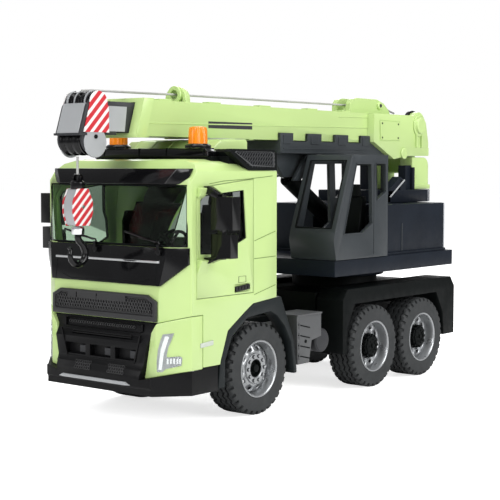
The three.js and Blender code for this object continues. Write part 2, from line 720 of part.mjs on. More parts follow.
function buildBoom(group) {
  place('lift_barrel', liftBarrel(), matteBlack, group);
  place('lift_rod', liftRod(), chrome, group);
  place('boom_base', boomBase(), lime, group);
  place('boom_cradle', boomCradle(), slate, group);
  place('winch_drum', winchDrum(), black, group);
  place('boom_inner', boomInner(), darkGrey, group);
  place('head_sheaves', sheave(headSheave, 8.6, 8.8, 3), black, group);
  place('hoist_rope', swept(hoistRopeRoute, ropeRadius, 30, 6), cordGrey, group);
  place('hook_rope', ropeDrop(), cordGrey, group);
  place('hook_block', hookBlock(), midGrey, group);
  place('hook', hook(), matteBlack, group);
}

buildChassis(chassis);
buildWheels(chassis);
buildCab(chassis);
buildSuperstructure(crane);
buildBoom(crane);
truck.position.y = -(frontEnd + rearEnd) / 2;

export default truck;
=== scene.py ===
# %% [markdown]
# # A toy crane truck
# The truck comes from a CAD model that is already the right size, so this lesson only adds looks.
# Each piece is made at its real place, given a material, and told which moving body it rides on.

# %% Load the frame
import json
from math import cos, hypot, pi, radians, sin, sqrt, tau
import bmesh
import bpy
from mathutils import Euler, Matrix, Vector


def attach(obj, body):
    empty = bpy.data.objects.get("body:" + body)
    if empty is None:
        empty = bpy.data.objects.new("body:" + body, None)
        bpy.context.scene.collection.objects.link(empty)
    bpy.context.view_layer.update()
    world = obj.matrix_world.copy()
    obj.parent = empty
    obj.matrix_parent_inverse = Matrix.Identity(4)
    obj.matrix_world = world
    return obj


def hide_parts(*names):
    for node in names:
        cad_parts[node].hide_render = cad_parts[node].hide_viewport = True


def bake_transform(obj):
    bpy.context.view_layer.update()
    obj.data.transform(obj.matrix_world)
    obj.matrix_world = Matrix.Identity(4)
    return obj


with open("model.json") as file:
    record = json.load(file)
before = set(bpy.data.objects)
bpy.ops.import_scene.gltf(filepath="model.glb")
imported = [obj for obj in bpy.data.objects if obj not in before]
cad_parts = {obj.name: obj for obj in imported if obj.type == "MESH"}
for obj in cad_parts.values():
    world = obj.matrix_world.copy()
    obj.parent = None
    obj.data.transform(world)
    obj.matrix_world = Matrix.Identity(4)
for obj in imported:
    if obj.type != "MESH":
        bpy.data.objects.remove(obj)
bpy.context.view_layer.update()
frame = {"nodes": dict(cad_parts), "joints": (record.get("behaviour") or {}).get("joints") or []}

# %% [markdown]
# ## Where things are
# A vehicle builder measures from the front axle, with the ground at zero. The frame is in metres with its
# origin under the middle of the truck. One helper turns millimetres from the axle into the frame's metres,
# and the axle's own place is read from its joint instead of being typed in again.

# %% A place on the truck
MM = 0.001
JOINTS = {joint["name"]: joint for joint in frame["joints"]}
AXLE_Y = JOINTS["front_left_spin"]["pos_m"][1]


def at(x, y, z):
    return Vector((x * MM, AXLE_Y + y * MM, z * MM))


print("front axle at y =", AXLE_Y)

# %% [markdown]
# ## The camera
# The truck is seen from low down and fairly close, ahead of its left front corner. A camera could be
# aimed with a Track To constraint, but three plain angles say the same and stay fixed. The long lens
# keeps the wheels round, and a small lens shift places the truck in the frame without turning the camera.

# %% Make the camera
CAMERA_TURN = radians(38.45)
CAMERA_DROP = radians(3.66)
CAMERA_ROLL = radians(0.12)

camera_data = bpy.data.cameras.new("studio_camera")
camera_data.lens = 91.07
camera_data.sensor_width = 36
camera_data.shift_x = -0.0166
camera_data.shift_y = -0.0024
camera_data.clip_start = 0.05
camera = bpy.data.objects.new("studio_camera", camera_data)
camera.location = at(562, -633.9, 159.2)
turned_down = Euler((pi / 2 - CAMERA_DROP, 0, CAMERA_TURN)).to_matrix()
camera.rotation_euler = (turned_down @ Matrix.Rotation(CAMERA_ROLL, 3, "Z")).to_euler()
bpy.context.scene.collection.objects.link(camera)
bpy.context.scene.camera = camera
print("camera", tuple(camera.location))

# %% [markdown]
# ## Shapes from a few numbers
# Most of a moulded toy is prisms, turned parts and tubes. A shape here is a pair of lists, corners in
# millimetres and faces. Shapes can be joined, mirrored or spun before they become an object, which keeps a
# group of bolts or ribs in one piece. Modelling each one by hand would work too, but loops stay editable.

# %% Prisms and blocks
AXIS_PLACE = {
    "x": lambda u, v, w: (w, u, v),
    "y": lambda u, v, w: (u, w, v),
    "z": lambda u, v, w: (u, v, w),
}


def prism(axis, outline, low, high):
    place = AXIS_PLACE[axis]
    count = len(outline)
    corners = [place(u, v, low) for u, v in outline] + [place(u, v, high) for u, v in outline]
    faces = [(i, (i + 1) % count, (i + 1) % count + count, i + count) for i in range(count)]
    faces += [tuple(range(count)), tuple(range(2 * count - 1, count - 1, -1))]
    return corners, faces


def block(x, y, z):
    return prism("z", [(x[0], y[0]), (x[1], y[0]), (x[1], y[1]), (x[0], y[1])], z[0], z[1])


def arc(centre, radius, start, end, steps):
    angles = [radians(start + (end - start) * i / steps) for i in range(steps + 1)]
    return [(centre[0] + radius * cos(a), centre[1] + radius * sin(a)) for a in angles]


print("a block has", len(block((0, 1), (0, 1), (0, 1))[0]), "corners")

# %% [markdown]
# ## Turned parts
# Wheels, pins, caps and lamps are round, so each is one profile swept about an axis. The Screw modifier
# would do it too. Making the corners directly lets a turned part be joined, mirrored or spun before it
# becomes an object.


# %% Turned parts and rods
def turned(axis, profile, centre, sides=40):
    """Turns a closed profile of (radius, along) points about a line through centre."""
    place = AXIS_PLACE[axis]
    corners, faces = [], []
    for i in range(sides):
        c, s = cos(tau * i / sides), sin(tau * i / sides)
        corners += [place(centre[0] + r * c, centre[1] + r * s, w) for r, w in profile]
    count = len(profile)
    for i in range(sides):
        for j in range(count):
            a, b = i * count, ((i + 1) % sides) * count
            faces.append((a + j, a + (j + 1) % count, b + (j + 1) % count, b + j))
    return corners, faces


def rod(axis, centre, radius, low, high, sides=24):
    return turned(axis, [(0, low), (radius, low), (radius, high), (0, high)], centre, sides)


print("a rod has", len(rod("x", (0, 0), 1, 0, 1)[1]), "faces")

# %% [markdown]
# ## Bars along a path
# Wiper arms, the hook, beads and ropes follow a path. A curve with a round bevel is the usual way. This
# tube takes its radius from a function instead, so that a hook can thicken and a rope can have strands.


# %% Tubes and bars
def tube(path, radius_at, sides=12):
    """A round bar along a path. radius_at gives the radius for a step and an angle."""
    points = [Vector(p) for p in path]
    count = len(points)
    normal = (points[1] - points[0]).orthogonal().normalized()
    corners, faces = [], []
    for i, point in enumerate(points):
        along = (points[min(i + 1, count - 1)] - points[max(i - 1, 0)]).normalized()
        normal = (normal - along * normal.dot(along)).normalized()
        side = along.cross(normal)
        for j in range(sides):
            angle = tau * j / sides
            radius = radius_at(i, angle)
            corners.append(tuple(point + radius * (cos(angle) * normal + sin(angle) * side)))
    for i in range(count - 1):
        for j in range(sides):
            k = (j + 1) % sides
            faces.append((i * sides + j, i * sides + k, (i + 1) * sides + k, (i + 1) * sides + j))
    faces.append(tuple(range(sides)))
    faces.append(tuple(range(count * sides - 1, (count - 1) * sides - 1, -1)))
    return corners, faces


def bar(path, radius, sides=12):
    return tube(path, lambda step, angle: radius, sides)


print("a straight bar has", len(bar([(0, 0, 0), (1, 0, 0)], 1)[1]), "faces")

# %% [markdown]
# ## Joining, mirroring and spinning
# A truck has two of most things, and its bolts come in rings. Mirror and Array modifiers would need an
# object for each. Working on the lists of corners keeps such a group in one piece, and a mirrored face is
# turned over so that it still looks outwards.


# %% Join, mirror and spin
def joined(*shapes):
    corners, faces = [], []
    for more_corners, more_faces in shapes:
        base = len(corners)
        corners += more_corners
        faces += [tuple(base + i for i in face) for face in more_faces]
    return corners, faces


def mirrored(shape):
    return [(-x, y, z) for x, y, z in shape[0]], [tuple(reversed(face)) for face in shape[1]]


def both_sides(shape):
    return joined(shape, mirrored(shape))


def spun(shape, centre, degrees):
    """Spins a shape about the X line through centre, which is (y, z)."""
    c, s = cos(radians(degrees)), sin(radians(degrees))
    cy, cz = centre
    corners = []
    for x, y, z in shape[0]:
        dy, dz = y - cy, z - cz
        corners.append((x, cy + dy * c - dz * s, cz + dy * s + dz * c))
    return corners, shape[1]


def ring_of(shape, centre, count):
    return joined(*[spun(shape, centre, 360 * i / count) for i in range(count)])


print("a ring of six rods has", len(ring_of(rod("x", (3, 0), 1, 0, 1), (0, 0), 6)[1]), "faces")

# %% [markdown]
# ## From shape to piece
# A moulded edge is never perfectly sharp, and it is the small round edge that catches the light. The Bevel
# modifier adds it to every edge above an angle, and hardened normals keep the flat faces flat.

# %% Make one piece
SHARP = radians(32)


def piece(name, shape, material, body, edge=0.0, thick=0.0):
    mesh = bpy.data.meshes.new(name)
    mesh.from_pydata([at(*corner) for corner in shape[0]], [], shape[1])
    work = bmesh.new()
    work.from_mesh(mesh)
    bmesh.ops.remove_doubles(work, verts=work.verts, dist=0.01 * MM)
    bmesh.ops.recalc_face_normals(work, faces=work.faces)
    work.to_mesh(mesh)
    work.free()
    mesh.shade_smooth()
    mesh.set_sharp_from_angle(angle=SHARP)
    mesh.materials.append(material)
    made = bpy.data.objects.new(name, mesh)
    bpy.context.scene.collection.objects.link(made)
    if thick:
        solid = made.modifiers.new("thickness", "SOLIDIFY")
        solid.thickness = thick * MM
        solid.offset = 0
    if edge:
        round_edges(made, edge)
    if body:
        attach(made, body)
    return made


def round_edges(made, width, segments=2):
    bevel = made.modifiers.new("round_edges", "BEVEL")
    bevel.width = width * MM
    bevel.segments = segments
    bevel.limit_method = "ANGLE"
    bevel.angle_limit = SHARP
    bevel.harden_normals = True


print("edges are rounded above", round(SHARP / tau * 360), "degrees")

# %% [markdown]
# ## Moulded plastic
# Moulded plastic has one colour all the way through, but it never looks dead flat: the tone drifts a
# little, the gloss varies where it was handled, and a fine grain breaks up reflections. An image texture
# could be wrapped round it, but three noises need no seams. They use object coordinates in metres, so the
# grain has one scale on every piece.

# %% The plastic recipe
NOISE_LOW, NOISE_HIGH = 0.3, 0.7
MIX_FIRST, MIX_SECOND, MIX_RESULT = 6, 7, 2


def noise_at(material, scale, detail=3.0):
    nodes, links = material.node_tree.nodes, material.node_tree.links
    where = nodes.new("ShaderNodeTexCoord")
    noise = nodes.new("ShaderNodeTexNoise")
    noise.inputs["Scale"].default_value = scale
    noise.inputs["Detail"].default_value = detail
    links.new(where.outputs["Object"], noise.inputs["Vector"])
    return noise.outputs["Fac"]


def remapped(material, value, low, high):
    nodes, links = material.node_tree.nodes, material.node_tree.links
    span = nodes.new("ShaderNodeMapRange")
    span.inputs["From Min"].default_value = NOISE_LOW
    span.inputs["From Max"].default_value = NOISE_HIGH
    span.inputs["To Min"].default_value = low
    span.inputs["To Max"].default_value = high
    links.new(value, span.inputs["Value"])
    return span.outputs["Result"]


def mixed(material, factor, first, second):
    nodes, links = material.node_tree.nodes, material.node_tree.links
    mix = nodes.new("ShaderNodeMix")
    mix.data_type = "RGBA"
    links.new(factor, mix.inputs["Factor"])
    mix.inputs[MIX_FIRST].default_value = (*first, 1)
    mix.inputs[MIX_SECOND].default_value = (*second, 1)
    return mix.outputs[MIX_RESULT]


print("noise is used from", NOISE_LOW, "to", NOISE_HIGH)

# %% [markdown]
# ## One recipe for plastic, paint and metal
# All the opaque finishes differ in colour, gloss, metal and coat, and not in how they are built. So one
# function makes them. Numbers that are the same all over a surface go straight onto the shader's sockets.


# %% Moulded plastic, paint and metal
def moulded(name, colour, rough, drift=0.06, grain=0.02, grain_scale=1800, metal=0.0, coat=0.0, shine=0.5,
            wear=0.16):
    """Plastic, paint or metal with a drifting tone, uneven gloss and a fine grain."""
    material = bpy.data.materials.new(name)
    material.use_nodes = True
    nodes, links = material.node_tree.nodes, material.node_tree.links
    shader = nodes["Principled BSDF"]
    shader.inputs["Metallic"].default_value = metal
    shader.inputs["Specular IOR Level"].default_value = shine
    shader.inputs["Coat Weight"].default_value = coat
    shader.inputs["Coat Roughness"].default_value = 0.08
    darker = [c * (1 - drift) for c in colour]
    lighter = [min(1, c * (1 + drift)) for c in colour]
    tone = remapped(material, noise_at(material, 35), 0, 1)
    links.new(mixed(material, tone, darker, lighter), shader.inputs["Base Color"])
    gloss = remapped(material, noise_at(material, 140), rough * (1 - wear), rough * (1 + wear))
    links.new(gloss, shader.inputs["Roughness"])
    bump = nodes.new("ShaderNodeBump")
    bump.inputs["Strength"].default_value = 0.6
    bump.inputs["Distance"].default_value = grain * MM
    links.new(noise_at(material, grain_scale, 4), bump.inputs["Height"])
    links.new(bump.outputs["Normal"], shader.inputs["Normal"])
    return material


print("recipe ready, materials so far:", len(bpy.data.materials))

# %% [markdown]
# ## The truck's own finishes
# The body is pale lime with a soft shine. The trim is near black in three glosses, the superstructure is
# a blue slate, and rims and plates are silver paint. Very dark colours also need a low specular level, or
# the white room lifts them to grey.

# %% The truck's own plastics, paints and metals
lime = moulded("lime_body_plastic", (0.44, 0.585, 0.225), 0.33, 0.012, 0.001, 900, coat=0.25, wear=0.03)
gloss_black = moulded("gloss_black_plastic", (0.003, 0.003, 0.0035), 0.12, 0.2, 0.003, 700, shine=0.32)
matte_black = moulded("matte_black_plastic", (0.003, 0.004, 0.004), 0.55, 0.2, 0.03, shine=0.08)
bumper_black = moulded("bumper_black_plastic", (0.0045, 0.0045, 0.005), 0.42, 0.18, 0.02, shine=0.14)
grille_black = moulded("grille_black_plastic", (0.02, 0.02, 0.021), 0.42, 0.18, 0.02, shine=0.4)
slate = moulded("slate_plastic", (0.0075, 0.0105, 0.0165), 0.45, 0.12, 0.025, shine=0.12)
pale_slate = moulded("pale_slate_plastic", (0.028, 0.033, 0.037), 0.42, 0.1, 0.025, shine=0.3)
dark_grey = moulded("dark_grey_plastic", (0.022, 0.023, 0.026), 0.5, 0.12, 0.03, shine=0.35)
arch_grey = moulded("arch_grey_plastic", (0.01, 0.013, 0.014), 0.48, 0.12, 0.03, shine=0.16)
mid_grey = moulded("mid_grey_plastic", (0.07, 0.072, 0.075), 0.45, 0.1, 0.03, shine=0.4)
silver = moulded("silver_paint", (0.33, 0.34, 0.35), 0.3, 0.08, 0.01, 3200, metal=0.75, coat=0.2)
light_silver = moulded("light_silver_paint", (0.34, 0.35, 0.36), 0.42, 0.06, 0.012, 3200, metal=0.3)
chrome = moulded("chrome_plating", (0.78, 0.79, 0.8), 0.1, 0.04, 0.002, 600, metal=1.0)
steel = moulded("turned_steel", (0.5, 0.5, 0.51), 0.25, 0.08, 0.01, 2600, metal=1.0)
rubber = moulded("tyre_rubber", (0.021, 0.023, 0.024), 0.68, 0.16, 0.05, 1500, shine=0.4)
print("plastics", len(bpy.data.materials))

# %% [markdown]
# ## Lenses and glass
# The windows and lamps are thin clear plastic. Painting them grey would be simpler, but a transmissive
# surface lets the cab's inside show while the reflection of the room still sits on it. A low index keeps
# these solid panes from bending the view. The beacons are tinted through, so their base colour does the
# tinting.


# %% Clear, tinted and amber plastic
def glazed(name, colour, rough, through, index=1.45):
    material = moulded(name, colour, rough, 0.03, 0.002, 500)
    shader = material.node_tree.nodes["Principled BSDF"]
    shader.inputs["Transmission Weight"].default_value = through
    shader.inputs["IOR"].default_value = index
    return material


# The windscreen's green-grey tint is painted shade: it darkens the cab's inside as seen through the clear
# screen.
clear = glazed("shade_tinted_styrene", (0.42, 0.55, 0.42), 0.02, 1.0, 1.22)
door_glass = glazed("door_glazing", (0.8, 0.86, 0.82), 0.03, 1.0, 1.2)
lens_clear = glazed("lamp_lens", (0.93, 0.95, 0.94), 0.04, 1.0, 1.3)
marker_plastic = glazed("marker_lens_plastic", (0.62, 0.66, 0.6), 0.15, 0.3)
amber = glazed("amber_lens", (1.0, 0.27, 0.006), 0.2, 0.25)
print("glazing made")

# %% [markdown]
# ## Hazard stripes
# The crane head and the hook block carry red and white warning plates. Stripes could be modelled as
# strips, but they are only paint. They lean at 45 degrees, so height minus length, counted in stripe
# widths, says which colour a point has. A sawtooth of that count is split a little below one half,
# because red is the wider band. Working in object coordinates keeps the stripes fixed to the plate.

# %% Red and white stripes
RED_FROM = 0.42


def striped(name, pitch):
    material = moulded(name, (0.8, 0.8, 0.8), 0.35, 0.03, 0.006)
    nodes, links = material.node_tree.nodes, material.node_tree.links
    where = nodes.new("ShaderNodeTexCoord")
    parts = nodes.new("ShaderNodeSeparateXYZ")
    links.new(where.outputs["Object"], parts.inputs["Vector"])
    lean = nodes.new("ShaderNodeMath")
    lean.operation = "SUBTRACT"
    links.new(parts.outputs["Z"], lean.inputs[0])
    links.new(parts.outputs["Y"], lean.inputs[1])
    turns = nodes.new("ShaderNodeMath")
    turns.operation = "DIVIDE"
    turns.inputs[1].default_value = pitch * MM
    links.new(lean.outputs[0], turns.inputs[0])
    saw = nodes.new("ShaderNodeMath")
    saw.operation = "FRACT"
    links.new(turns.outputs[0], saw.inputs[0])
    is_red = nodes.new("ShaderNodeMath")
    is_red.operation = "GREATER_THAN"
    is_red.inputs[1].default_value = RED_FROM
    links.new(saw.outputs[0], is_red.inputs[0])
    paint = mixed(material, is_red.outputs[0], (0.72, 0.7, 0.69), (0.5, 0.012, 0.022))
    links.new(paint, nodes["Principled BSDF"].inputs["Base Color"])
    return material


HEAD_PITCH, BLOCK_PITCH = 6.8, 5.8
hazard = striped("hazard_plate", HEAD_PITCH)
block_hazard = striped("hook_block_plate", BLOCK_PITCH)
print("stripe pitches", HEAD_PITCH, BLOCK_PITCH, "mm")

# %% [markdown]
# ## The hoist rope
# The rope is a limp laid cord held tight between the winch and the crane head, so it has no slack. A
# curve would give a smooth string. Here a smooth route is worked out first, and a tube with strands is
# laid along it.

# %% The rope's route and its look
ROPE_RADIUS = 0.8
rope_route = [
    (0, 252.5, 204.2), (0, 246, 205.5), (0, 236, 208), (0, 190, 208), (0, 130, 207.8),
    (0, 60, 207.4), (0, -11, 207), (0, -50, 206.6), (0, -88, 206.2), (0, -98, 205.6),
]
rope_cord = moulded("rope_cord", (0.36, 0.36, 0.35), 0.8, 0.15, 0.06, 2400)


def smooth_route(points, spacing):
    """Points a little apart along a smooth curve through the given ones."""
    ends = [Vector(p) for p in points]
    ends = [2 * ends[0] - ends[1], *ends, 2 * ends[-1] - ends[-2]]
    fine = []
    for a, b, c, d in zip(ends, ends[1:], ends[2:], ends[3:]):
        steps = max(2, int((c - b).length / spacing))
        lean_in = (c - a) * (c - b).length / max((c - a).length, 1e-6)
        lean_out = (d - b) * (c - b).length / max((d - b).length, 1e-6)
        for i in range(steps):
            t = i / steps
            fine.append(
                b * (2 * t**3 - 3 * t**2 + 1) + lean_in * (t**3 - 2 * t**2 + t)
                + c * (3 * t**2 - 2 * t**3) + lean_out * (t**3 - t**2)
            )
    return [*fine, ends[-2]]


print("rope route has", len(rope_route), "turning points")

# %% [markdown]
# ## Strands
# Three strands twist round each other. Modelling three tubes would triple the mesh, so the one tube gets
# three lobes that turn as it runs.


# %% Lay the strands
def laid_rope(path, spacing, lay=5.0):
    """Three strands: the radius swells three times round, and the swell turns along the rope."""
    def radius_at(step, angle):
        return ROPE_RADIUS * (0.92 + 0.08 * cos(3 * angle - tau * step * spacing / lay * 3))
    return tube(path, radius_at, 12)


print("rope diameter", 2 * ROPE_RADIUS, "mm")

# %% [markdown]
# ## The rope in its place
# The rope replaces the plain one of the CAD, which is hidden.

# %% Hang the hoist rope
ROPE_STEP = 0.8
rope_path = smooth_route(rope_route, ROPE_STEP)
rope = piece("laid_hoist_rope", laid_rope(rope_path, ROPE_STEP), rope_cord, None)
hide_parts("hoist_rope")
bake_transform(rope)

# %% [markdown]
# ## The hook rope
# A short fall of the same rope carries the hook block, from the crane head down to the block.

# %% The drop from the head to the hook block
HOOK_Y = -102
drop_path = [(0, HOOK_Y, 165.8 - 0.4 * i) for i in range(28)]
drop = piece("hook_rope_drop", laid_rope(drop_path, 0.4), rope_cord, None)
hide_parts("hook_rope")
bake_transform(drop)
print("drop", len(drop_path), "rings")

# %% [markdown]
# ## Dressing the CAD pieces
# Where the shape of a CAD piece is right, it only needs a material and round edges. Remodelling it would
# risk a misfit. Its mesh stays as it is: Weld closes the split corners, a planar Decimate clears the
# triangles on flat faces, and Bevel rounds the edges.


# %% Dress the nodes
def dress(material, edge, *names):
    for name in names:
        node = frame["nodes"][name]
        node.data.materials.clear()
        node.data.materials.append(material)
        node.data.shade_smooth()
        weld = node.modifiers.new("close_corners", "WELD")
        weld.merge_threshold = 0.02 * MM
        flat = node.modifiers.new("clear_flats", "DECIMATE")
        flat.decimate_type = "DISSOLVE"
        flat.angle_limit = radians(0.6)
        round_edges(node, edge)


def pair(name):
    return f"{name}_left", f"{name}_right"


dress(lime, 0.55, "cab_shell", "roof_fairing", *pair("headlight"), *pair("door"), "boom_post")
dress(lime, 0.4, "boom_base")
dress(gloss_black, 0.5, "sun_visor", "front_panel", "light_bar", "winch_drum")
dress(gloss_black, 1.5, *pair("mirror"))
dress(bumper_black, 0.4, "bumper")
dress(grille_black, 0.4, "grille")
dress(arch_grey, 0.6, *pair("wheel_arch"))
dress(slate, 0.5, "deck", "engine_house", "counterweight")
dress(pale_slate, 0.5, "crane_cab", "boom_cradle")
dress(matte_black, 0.4, "chassis_frame", "front_axle_beam", *pair("knuckle"), *pair("rear_fender"))
dress(matte_black, 0.4, "cab_interior", *pair("intake_pod"), "lift_barrel")
dress(dark_grey, 0.25, "boom_inner")
dress(mid_grey, 0.5, *pair("step_box"))
dress(steel, 0.2, "lift_rod", "tie_rod", "rear_axle_1", "rear_axle_2")
dress(clear, 0.2, "windscreen")
print("dressed", sum(1 for node in frame["nodes"].values() if node.modifiers))

# %% [markdown]
# ## Tyres
# The tread is five ribs with zigzag grooves between them, and the shoulders are notched. A grid wrapped round
# the wheel makes all of it: each row of the grid has a width and a radius, and the tread rows sway from side
# to side as they go round. Sculpting the grooves with booleans would give ragged edges where this is clean.

# %% Tread and sidewall rows
WHEEL_Z = 30
TYRE_MIDDLE = 49
SWAYS = 32
SWAY_WIDTH = 0.8
SWAY_STEPS = [(0.0, 0.0, 0.0), (0.25, 1.0, 0.0), (0.4, 0.35, 0.0), (0.46, 0.1, 1.0),
              (0.75, -1.0, 1.0), (0.84, -0.6, 0.0)]
GROOVES = [-6.4, -2.2, 2.2, 6.4]


def tyre_rows():
    """Rows across the tyre: offset from the middle, radius, sway share, notch depth."""
    side = [(10.2, 18.4, 0, 0), (10.7, 19.0, 0, 0), (11.0, 20.2, 0, 0), (10.9, 21.4, 0, 0),
            (11.0, 23.4, 0, 0), (10.95, 25.2, 0, 0), (10.8, 26.6, 0, 0), (10.7, 27.4, 0, 0),
            (10.6, 28.2, 0, 1.5), (10.3, 29.0, 0, 2.2), (9.8, 29.6, 0, 2.2), (9.2, 29.8, 0.2, 2.0),
            (8.4, 29.9, 0.5, 0.4)]
    tread = []
    for groove in GROOVES:
        tread += [(groove - 0.75, 29.95, 1, 0), (groove - 0.55, 27.9, 1, 0),
                  (groove + 0.55, 27.9, 1, 0), (groove + 0.75, 29.95, 1, 0)]
    left = [(-w, r, s, n) for w, r, s, n in side]
    right = list(reversed(side))
    inside = [(9.0, 18.3, 0, 0), (-9.0, 18.3, 0, 0)]
    return [*left, *tread, *right, *inside]


print("rows across a tyre", len(tyre_rows()))

# %% [markdown]
# ## Wrapping the rows
# The rows are the tyre's section, and this function carries them round the axle. At each step the tread
# rows move sideways and the shoulder rows dip, which makes the zigzags and the notches.


# %% Wrap the rows round the wheel
def tyre_shape(y):
    corners, faces = [], []
    rows = tyre_rows()
    turns = [(k + share, sway, notch) for k in range(SWAYS) for share, sway, notch in SWAY_STEPS]
    for turn, sway, notch in turns:
        angle = tau * turn / SWAYS
        for offset, radius, sway_share, notch_depth in rows:
            r = radius - notch * notch_depth
            x = TYRE_MIDDLE + offset + sway * sway_share * SWAY_WIDTH
            corners.append((x, y + r * cos(angle), WHEEL_Z + r * sin(angle)))
    count = len(rows)
    for i in range(len(turns)):
        a, b = i * count, ((i + 1) % len(turns)) * count
        faces += [(a + j, a + (j + 1) % count, b + (j + 1) % count, b + j) for j in range(count)]
    return corners, faces


print("steps round a tyre", SWAYS * len(SWAY_STEPS))

# %% [markdown]
# ## Rims
# A front rim is a dish with ten oval hand holes and a bolt flange pushed out to the wheel face. A rear
# rim has a flatter disc set back behind the lip, and its ribbed hub stands out. Booleans could cut the
# holes. The disc is built sector by sector instead, because a ring of points round each hole, bridged to
# the sector's border, gives clean faces, and the borders weld.

# %% A disc with oval holes
HAND_HOLES = 10
WHEEL_NUTS = 10


def holed_disc(y, count, inner, outer, hole_radius, hole_size, dish):
    corners, faces = [], []
    steps = 16
    middle, half = (inner + outer) / 2, (outer - inner) / 2
    for k in range(count):
        base = len(corners)
        for j in range(steps):
            c, s = cos(tau * j / steps), sin(tau * j / steps)
            reach = max(abs(c), abs(s))
            border = (middle + half * c / reach, (k + 0.5 * s / reach) / count)
            hole = (hole_radius + hole_size[0] * c, k / count + hole_size[1] * s / hole_radius / tau)
            for radius, share in (border, hole):
                angle = tau * share
                x = dish(radius)
                corners.append((x, y + radius * cos(angle), WHEEL_Z + radius * sin(angle)))
        for j in range(steps):
            a, b = base + 2 * j, base + 2 * ((j + 1) % steps)
            faces.append((a, b, b + 1, a + 1))
    return corners, faces


def barrel(y, lip, back):
    profile = [(18.0, 40), (18.0, 58.2), (18.7, 59.2), (18.6, 59.8), (18.0, 59.9), (17.3, 59.5),
               (16.9, 58.3), (16.5, lip), (16.0, back), (16.0, 40)]
    return turned("x", profile, (y, WHEEL_Z), 56)


def nuts(y, count, radius, low, high, size):
    nut = rod("x", (y + radius, WHEEL_Z), size, low, high, 6)
    return ring_of(nut, (y, WHEEL_Z), count)


print("hand holes", HAND_HOLES, "and wheel nuts", WHEEL_NUTS)

# %% [markdown]
# ## Front wheels
# Each front wheel is a tyre, a rim, a holed disc, wheel nuts on dark seats and a black hub. They stay
# separate pieces because their finishes differ, and they all ride on the wheel's body.


# %% Front wheels
def front_dish(radius):
    share = (16.4 - radius) / 6.8
    return 52.2 + 3.9 * min(1, max(0, share)) ** 0.8


def front_rim(y):
    flange = turned("x", [(10.2, 55.2), (10.2, 56.2), (9.7, 57.0), (6.3, 57.2), (5.8, 56.8), (5.8, 52),
                          (6.6, 52), (6.6, 55.2)], (y, WHEEL_Z), 48)
    return joined(barrel(y, 54.5, 52.0), flange)


def front_hub(y):
    cup = turned("x", [(5.85, 56.2), (5.2, 56.3), (4.9, 53.6), (0, 53.3), (0, 51.6), (5.85, 51.6)],
                 (y, WHEEL_Z), 36)
    cap = turned("x", [(3.4, 53.2), (3.2, 54.6), (2.6, 55), (0, 55), (0, 53.2)], (y, WHEEL_Z), 24)
    return joined(cup, cap)


def fit_front_wheel(side, flip):
    body = f"front_wheel_{side}"
    tyre = piece(f"treaded_front_tyre_{side}", flip(tyre_shape(0)), rubber, body)
    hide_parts(f"front_tyre_{side}")
    rim = piece(f"dished_front_rim_{side}", flip(front_rim(0)), silver, body, 0.12)
    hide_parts(f"front_rim_{side}")
    disc = holed_disc(0, HAND_HOLES, 9.8, 16.4, 13.2, (1.15, 1.7), front_dish)
    piece(f"front_wheel_disc_{side}", flip(disc), silver, body, thick=0.9)
    bolts = nuts(0, WHEEL_NUTS, 8.05, 57.0, 58.1, 0.95)
    piece(f"front_wheel_nuts_{side}", flip(bolts), silver, body, 0.15)
    seats = ring_of(turned("x", [(1.3, 57.0), (1.3, 57.35), (0, 57.35), (0, 57.0)], (8.05, WHEEL_Z), 16),
                    (0, WHEEL_Z), WHEEL_NUTS)
    piece(f"front_nut_seats_{side}", flip(seats), dark_grey, body)
    piece(f"front_hub_{side}", flip(front_hub(0)), matte_black, body, 0.1)


print("front disc at its flange, x =", round(front_dish(9.8), 2))

# %% [markdown]
# ## Left and right
# Everything is drawn for the left side. A list of the two sides, each with the function that places a
# shape there, lets later cells fit both with one loop.


# %% Fit both front wheels
def as_drawn(shape):
    return shape


SIDES = [("left", as_drawn), ("right", mirrored)]
for side, flip in SIDES:
    fit_front_wheel(side, flip)
print("front tyre corners", len(tyre_shape(0)[0]))

# %% [markdown]
# ## Rear wheels
# The rear wheels ride in pairs on two solid axles. The place of each axle is read from its joint, so that
# the wheels stay centred on the line they turn about. The hub is one turned drum with rings of ribs and
# bolts.

# %% Rear wheels
REAR_AXLES = [round((JOINTS[f"rear_axle_{number}_spin"]["pos_m"][1] - AXLE_Y) / MM, 3) for number in (1, 2)]


def rear_dish(radius):
    return 52.3 + 0.8 * max(0, (radius - 13) / 3.4)


def rear_hub(y):
    drum = turned("x", [(8.6, 51.4), (8.6, 53.4), (7.9, 53.8), (7.9, 56.2), (7.0, 56.8), (6.6, 57.8),
                        (5.6, 58.2), (3.6, 58.2), (3.4, 57.6), (0, 57.6), (0, 51.4)], (y, WHEEL_Z), 40)
    rib = block((53.2, 57.0), (y + 7.4, y + 8.7), (WHEEL_Z - 0.8, WHEEL_Z + 0.8))
    cap_lug = block((55, 57.9), (y + 6.0, y + 7.4), (WHEEL_Z - 0.9, WHEEL_Z + 0.9))
    bolt = rod("x", (y + 4.6, WHEEL_Z), 0.6, 58.0, 58.8, 6)
    centre = rod("x", (y, WHEEL_Z), 1.7, 57.4, 58.7, 6)
    around = [ring_of(rib, (y, WHEEL_Z), 14), ring_of(cap_lug, (y, WHEEL_Z), 8),
              ring_of(bolt, (y, WHEEL_Z), 8)]
    return joined(drum, centre, *around)


